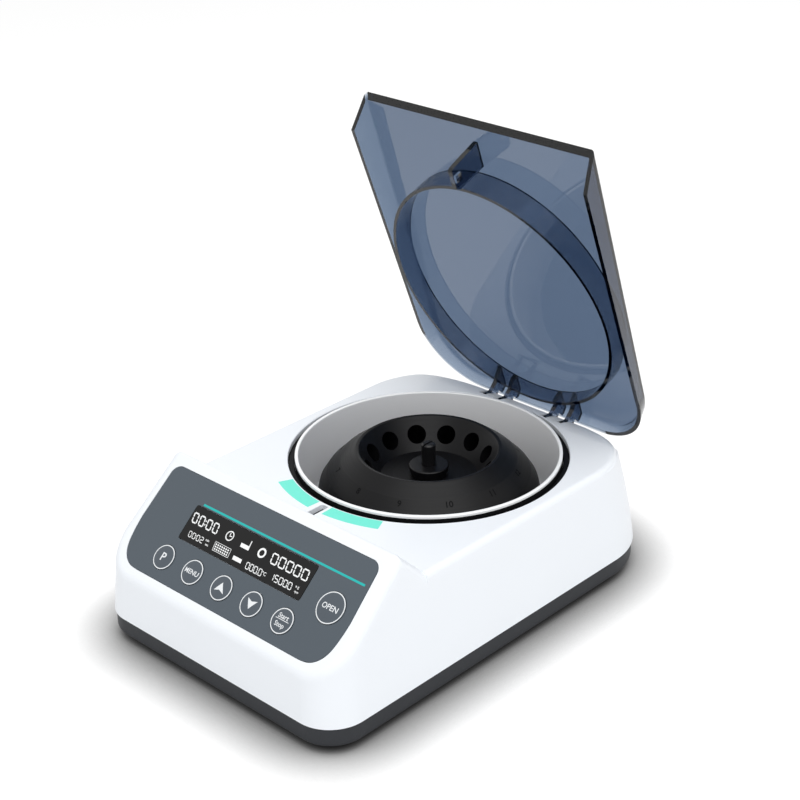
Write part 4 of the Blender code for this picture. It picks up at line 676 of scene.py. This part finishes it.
# Ground steel is bright and even. The spindle is blackened after turning. Real tool marks are near 0.1 mm;
# they are drawn at 0.5 mm or more so that they show.
steel_look = plastic("steel_turned", "B9BBBE", 0.3, 0.3, 0.002, 0.05, metallic=1.0)
spindle_look = turned("blackened_steel", "101012", 0.35, 0.5, 0.002, 0.3)
points, faces = lathed([(0, 10.3), (4, 10.3), (4, 29.2), (8, 29.2), (8, 34), (4, 34), (4, 76.6), (3.3, 77.4),
                        (0, 77.4)], 96)
spindle = surface("spindle", points, faces, spindle_look)
combine(spindle, surface("slot", *prism([(-0.6, -9), (0.6, -9), (0.6, 9), (-0.6, 9)], 75.9, 90)))
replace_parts(done(spindle, "spindle"), "drive_shaft")
dress(steel_look, "hinge_pin_left", "hinge_pin_right", "latch_bolt")
# Die-cast aluminium: grey metal with a grainy cast skin.
dress(plastic("motor_cast_aluminium", "A8AAAD", 0.42, 0.6, 0.01, 0.06, metallic=1.0), "motor_housing")


# Rotor.
# Black fixed-angle rotor: a wide bell with a dished top, twelve slanted sockets opening on the dish,
# and a round nut on the spindle.

# Turned aluminium, anodised black: dark satin with faint rings from the tool.
rotor_look = turned("rotor_black_satin", "070709", 0.42, 0.6, 0.002, 0.2)
SOCKETS, FIRST_SOCKET = 12, -5.1
profile = rounded([(14, 34.3), (19, 37.2), (46, 36.2), (53, 32.5), (61, 32.5), (63.2, 34.5), (63.2, 50),
                   (62, 54.5), (58, 60.5), (50, 68.5), (41.2, 75), (39.5, 74.7), (27.5, 58)], 0.7, 4, closed=False)
points, faces = lathed([(4.3, 34.3), *profile, (4.3, 58)], 256)
rotor = surface("rotor_bell", points, faces, rotor_look)
for index in range(SOCKETS):
    turn = math.radians(FIRST_SOCKET + 30 * index)
    outward = np.array([math.cos(turn), math.sin(turn), 0])
    along = (outward - (0, 0, 1)) * math.sqrt(0.5)
    across = np.array([-math.sin(turn), math.cos(turn), 0])
    upright = np.cross(across, along)
    points, faces = prism(disc(5.5, 64), -14, 32)
    mouth = outward * 33.4 + (0, 0, 66)
    bore = mouth + points[:, :1] * across + points[:, 1:2] * upright + points[:, 2:] * along
    if np.dot(np.cross(across, upright), along) < 0:
        faces = [face[::-1] for face in faces]
    combine(rotor, surface("bore", bore, faces))
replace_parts(done(rotor, "spindle"), "rotor")
nut_look = turned("nut_black_satin", "09090B", 0.36, 0.5, 0.002, 0.25)
points, faces = lathed([(4.3, 58.3), (10.5, 58.3), *arc((11.5, 58.3), (11.5, 64.3), (4.3, 64.3), 1.0, 6),
                        (4.3, 64.3)], 128)
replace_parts(done(surface("nut", points, faces, nut_look), "spindle"), "rotor_nut")

# Numbers on the outer slope, one for each socket, cut in; drawn as flat, matt marks whose darker colour is painted
# shade of the cuts.
number_cut_shade_look = plastic("engraved_numbers_painted_shade", "020203", 0.7, 0.3, 0.001, 0.02, shine=0.1)
numbers = []
NUMBER_REACH, NUMBER_RISE, SLOPE = 52, 66.5, math.sqrt(0.5)
for index in range(SOCKETS):
    points, faces = words(str(index + 1), 3.4, (0, 0))
    turn = math.radians(FIRST_SOCKET + 30 * (index - 10)) + points[:, 0] / NUMBER_REACH
    reach = NUMBER_REACH - points[:, 1] * SLOPE + points[:, 2] * SLOPE
    rise = NUMBER_RISE + points[:, 1] * SLOPE + points[:, 2] * SLOPE
    numbers.append((np.column_stack([reach * np.cos(turn), reach * np.sin(turn), rise]), faces))
points, faces = together(numbers)
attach(surface("socket_numbers", points, faces, number_cut_shade_look), "spindle")


# Lid.
# Smoky clear moulding, 3 mm thick, shown open: flat plate, deep skirt with slanted front ends,
# a splash ring that meets the seal, a latch hook and four hinge ears.

HINGE_Y, HINGE_Z = 86.4, 63.6


def opened(points):
    """Closed lid turned back by 69 degrees about the hinge line."""
    x, y, z = np.asarray(points, dtype=float).T
    turn = math.radians(-69)
    b, c = y - HINGE_Y, z - HINGE_Z
    return np.column_stack([x, HINGE_Y + b * math.cos(turn) - c * math.sin(turn),
                            HINGE_Z + b * math.sin(turn) + c * math.cos(turn)])


def lid_top(y):
    """Top of the closed lid: 87.9 mm at the ramp's foot, falling by 2.1 degrees to the rear."""
    return 87.9 - math.tan(math.radians(2.1)) * (y - RAMP_FOOT)


def lid_rings(inset, drop, edge, front, steps):
    """Rings of a rectangle with round rear corners, from a foot that flares by 2.5 mm to the sloping top.

    `edge` is the radius of the rounding under the top, worked out in a number of steps.
    """
    corner_x, corner_y, corner_radius = 44.7, 52.6, 37
    sides = np.linspace(front, 50, 12)
    turns = np.linspace(0, math.pi / 2, 41)
    rings = []
    for angle in [None, *np.linspace(0, math.pi / 2, steps)]:
        extra = inset - 2.5 if angle is None else inset + edge * (1 - math.cos(angle))
        x = np.concatenate([np.full(12, 81.7 - extra), corner_x + (corner_radius - extra) * np.cos(turns)])
        y = np.concatenate([sides, corner_y + (corner_radius - extra) * np.sin(turns)])
        foot = 72.3 + 1.8 * np.clip((y - 50) / 39.6, 0, 1)
        z = foot if angle is None else lid_top(y) - drop - edge * (1 - math.sin(angle))
        rings.append(np.column_stack([x, y, z]))
    return rings


def ear_outline(x):
    """Side view of one hinge ear about the pin: a round eye, and an arm that runs to the ring and the plate."""
    turns = np.radians(np.linspace(205, 404, 24))
    ring = math.sqrt(77 ** 2 - x ** 2) - HINGE_Y
    arm = [(-0.9, 7.7), (2.6, 9.5), (2.6, 16.05), (ring, lid_top(ring + HINGE_Y) - 65.1), (ring, 1.3 - ring),
           (-11.2, 12.5), (-7, 8), (-4.5, 2.8), (-5, 0.6), (-6.6, -2)]
    return np.vstack([np.column_stack([4.5 * np.cos(turns), 4.5 * np.sin(turns)]), arm]) + (HINGE_Y, HINGE_Z)


# Clear acrylic with a smoky blue dye: the colour sits in the thickness, so overlaps and edges go darker.
lid_look = bpy.data.materials.new("smoky_clear_lid")
lid_look.use_nodes = True
tree = lid_look.node_tree
shader = tree.nodes["Principled BSDF"]
shader.inputs["Base Color"].default_value = (1, 1, 1, 1)
shader.inputs["Roughness"].default_value = 0.02
shader.inputs["IOR"].default_value = 1.49
shader.inputs["Transmission Weight"].default_value = 1.0
tint = add_node(tree, "ShaderNodeVolumeAbsorption", Color=linear("5485AC"), Density=680.0)
tree.links.new(tint.outputs["Volume"], tree.nodes["Material Output"].inputs["Volume"])

shell_points, shell_faces = rows_to_shell(lid_rings(0, 0, 2.6, -118, 8), lid_rings(2.5, 3, 0.6, -115.4, 4))
lid = surface("lid_shell", opened(shell_points), shell_faces, lid_look)
plane = RAMP_FOOT + DECK + math.sqrt(2)  # y + z of the 45 degree front, 1 mm clear of the ramp
points, faces = prism([(plane - 52.3, 52.3), (plane - 108, 108), (-158, 108), (-158, 52.3)], -103, 103, "X")
combine(lid, surface("front_cut", opened(points), faces))
points, faces = lathed([(76, 68.8), (78, 68.8), (78, 88), (76, 88)], 256)
points[:, 2] = np.where(points[:, 2] > 80, lid_top(points[:, 1]) - 1.8, points[:, 2])
combine(lid, surface("ring", opened(points), faces), "UNION")
hook = [(-98.7, 86.17), (-96.5, 62.9), (-95, 61.4), (-83.7, 61.4), (-82.2, 62.9), (-82.8, 86.17)]
points, faces = prism(hook, -1.5, 1.5, "X")
combine(lid, surface("hook", opened(points), faces), "UNION")
points, faces = prism([(-91.3, 63), (-86.7, 63), (-86.7, 67.6), (-91.3, 67.6)], -5, 5, "X")
combine(lid, surface("hook_window", opened(points), faces))
for x in (-29.5, -17.5, 17.5, 29.5):
    points, faces = prism(ear_outline(abs(x)), x - 1.5, x + 1.5, "X")
    combine(lid, surface("ear", opened(points), faces), "UNION")
for side in (-1, 1):
    near, far = sorted((side * 15.4, side * 31.6))
    points, faces = prism(disc(2.2, 32, (HINGE_Y, HINGE_Z)), near, far, "X")
    combine(lid, surface("pin_hole", opened(points), faces))
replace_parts(done(lid, "lid", 30), "lid")


# Hinge posts, latch, back sockets and boards.
# White posts stand between the ears; the latch block hangs under the deck; inlet and switch sit in
# the back; the boards are inside and hardly seen.

dress(cover_look, "hinge_bracket_left", "hinge_bracket_right")
# Black nylon, moulded with a plain satin skin.
dress(plastic("black_nylon", "202022", 0.5, 0.6, 0.01, 0.08),
      "latch_housing", "power_inlet", "power_switch", "power_rocker", "display_module")
# Bare brass blades and green lacquered boards.
dress(plastic("contact_brass", "C9A45A", 0.3, 0.3, 0.001, 0.05, metallic=1.0),
      "inlet_pin_left", "inlet_pin_middle", "inlet_pin_right")
dress(plastic("circuit_board_green", "1F5A3C", 0.5, 0.8, 0.004, 0.1), "control_board", "drive_board")


# Studio.
# White floor and backdrop, soft light from above right, and the photograph's camera: 80 mm lens,
# 44 degrees round to the right side and 26 degrees up.

def seen_directly(tree):
    """1 for what the eye sees straight, through glass or in a reflection, 0 for light that falls on things."""
    path = add_node(tree, "ShaderNodeLightPath")
    seen = path.outputs["Is Camera Ray"]
    for way in ("Is Glossy Ray", "Is Transmission Ray"):
        either = add_node(tree, "ShaderNodeMath", [(seen, 0), (path.outputs[way], 1)], operation="MAXIMUM")
        seen = either.outputs["Value"]
    return seen


# Matt white paper. Close to the tray it is shaded more strongly than light alone would, and where the eye
# sees it a weak glow lifts it to white.
floor_look = bpy.data.materials.new("white_floor")
floor_look.use_nodes = True
tree = floor_look.node_tree
tree.nodes.clear()
seen = seen_directly(tree)
nearness = add_node(tree, "ShaderNodeAmbientOcclusion", Distance=0.036)
shade = add_node(tree, "ShaderNodeMath", [(nearness.outputs["AO"], 0)], operation="POWER")
shade.inputs[1].default_value = 2.0
shown = add_node(tree, "ShaderNodeMath", [(shade.outputs["Value"], 0)], operation="MULTIPLY")
shown.inputs[1].default_value = 0.62
paper = add_node(tree, "ShaderNodeMix", [(seen, "Factor"), (shown.outputs["Value"], "B")], data_type="RGBA")
paper.inputs["A"].default_value = (0.85, 0.85, 0.85, 1)
shaded = add_node(tree, "ShaderNodeMath", [(shade.outputs["Value"], 0), (seen, 1)], operation="MULTIPLY")
glow = add_node(tree, "ShaderNodeMath", [(shaded.outputs["Value"], 0)], operation="MULTIPLY")
glow.inputs[1].default_value = 0.48
matt = add_node(tree, "ShaderNodeBsdfDiffuse", [(paper.outputs["Result"], "Color")])
white = add_node(tree, "ShaderNodeEmission", [(glow.outputs["Value"], "Strength")])
both = add_node(tree, "ShaderNodeAddShader", [(matt.outputs["BSDF"], 0), (white.outputs["Emission"], 1)])
add_node(tree, "ShaderNodeOutputMaterial", [(both.outputs["Shader"], "Surface")])
floor = surface("floor", np.column_stack([disc(1900, 96), np.full(96, -TRAY_Z)]), [range(96)], floor_look)

world = bpy.data.worlds.new("studio")
bpy.context.scene.world = world
world.use_nodes = True
tree = world.node_tree
level = add_node(tree, "ShaderNodeMapRange", [(seen_directly(tree), "Value")])
level.inputs["To Min"].default_value = 0.62
level.inputs["To Max"].default_value = 1.0
tree.nodes["Background"].inputs["Color"].default_value = (1, 1, 1, 1)
tree.links.new(level.outputs["Result"], tree.nodes["Background"].inputs["Strength"])

lamp = bpy.data.lights.new("soft_key", "AREA")
lamp.energy = 32
lamp.size = 2.2
light = bpy.data.objects.new("soft_key", lamp)
bpy.context.collection.objects.link(light)
light.location = (0.7, -0.45, 1.9)
light.rotation_euler = (Vector((0, 0, 0.05)) - light.location).to_track_quat("-Z", "Y").to_euler()

azimuth, elevation, roll = math.radians(44.12), math.radians(26.23), math.radians(-1.2)
back = Vector((math.sin(azimuth) * math.cos(elevation), -math.cos(azimuth) * math.cos(elevation),
               math.sin(elevation)))
aside = Vector((math.cos(azimuth), math.sin(azimuth), 0))
above = back.cross(aside)
right = aside * math.cos(roll) + above * math.sin(roll)
up = above * math.cos(roll) - aside * math.sin(roll)
data = bpy.data.cameras.new("camera")
data.sensor_width = 36
data.lens = 36 * 1777.5 / 800  # the photograph's focal length is 1777.5 of its 800 pixels
data.clip_start = 0.01
camera = bpy.data.objects.new("camera", data)
bpy.context.collection.objects.link(camera)
turn = Matrix((right, up, back)).transposed().to_4x4()
camera.matrix_world = Matrix.Translation((0.6064, -0.61589, 0.5458)) @ turn
bpy.context.scene.camera = camera
bpy.context.scene.view_settings.view_transform = "Standard"
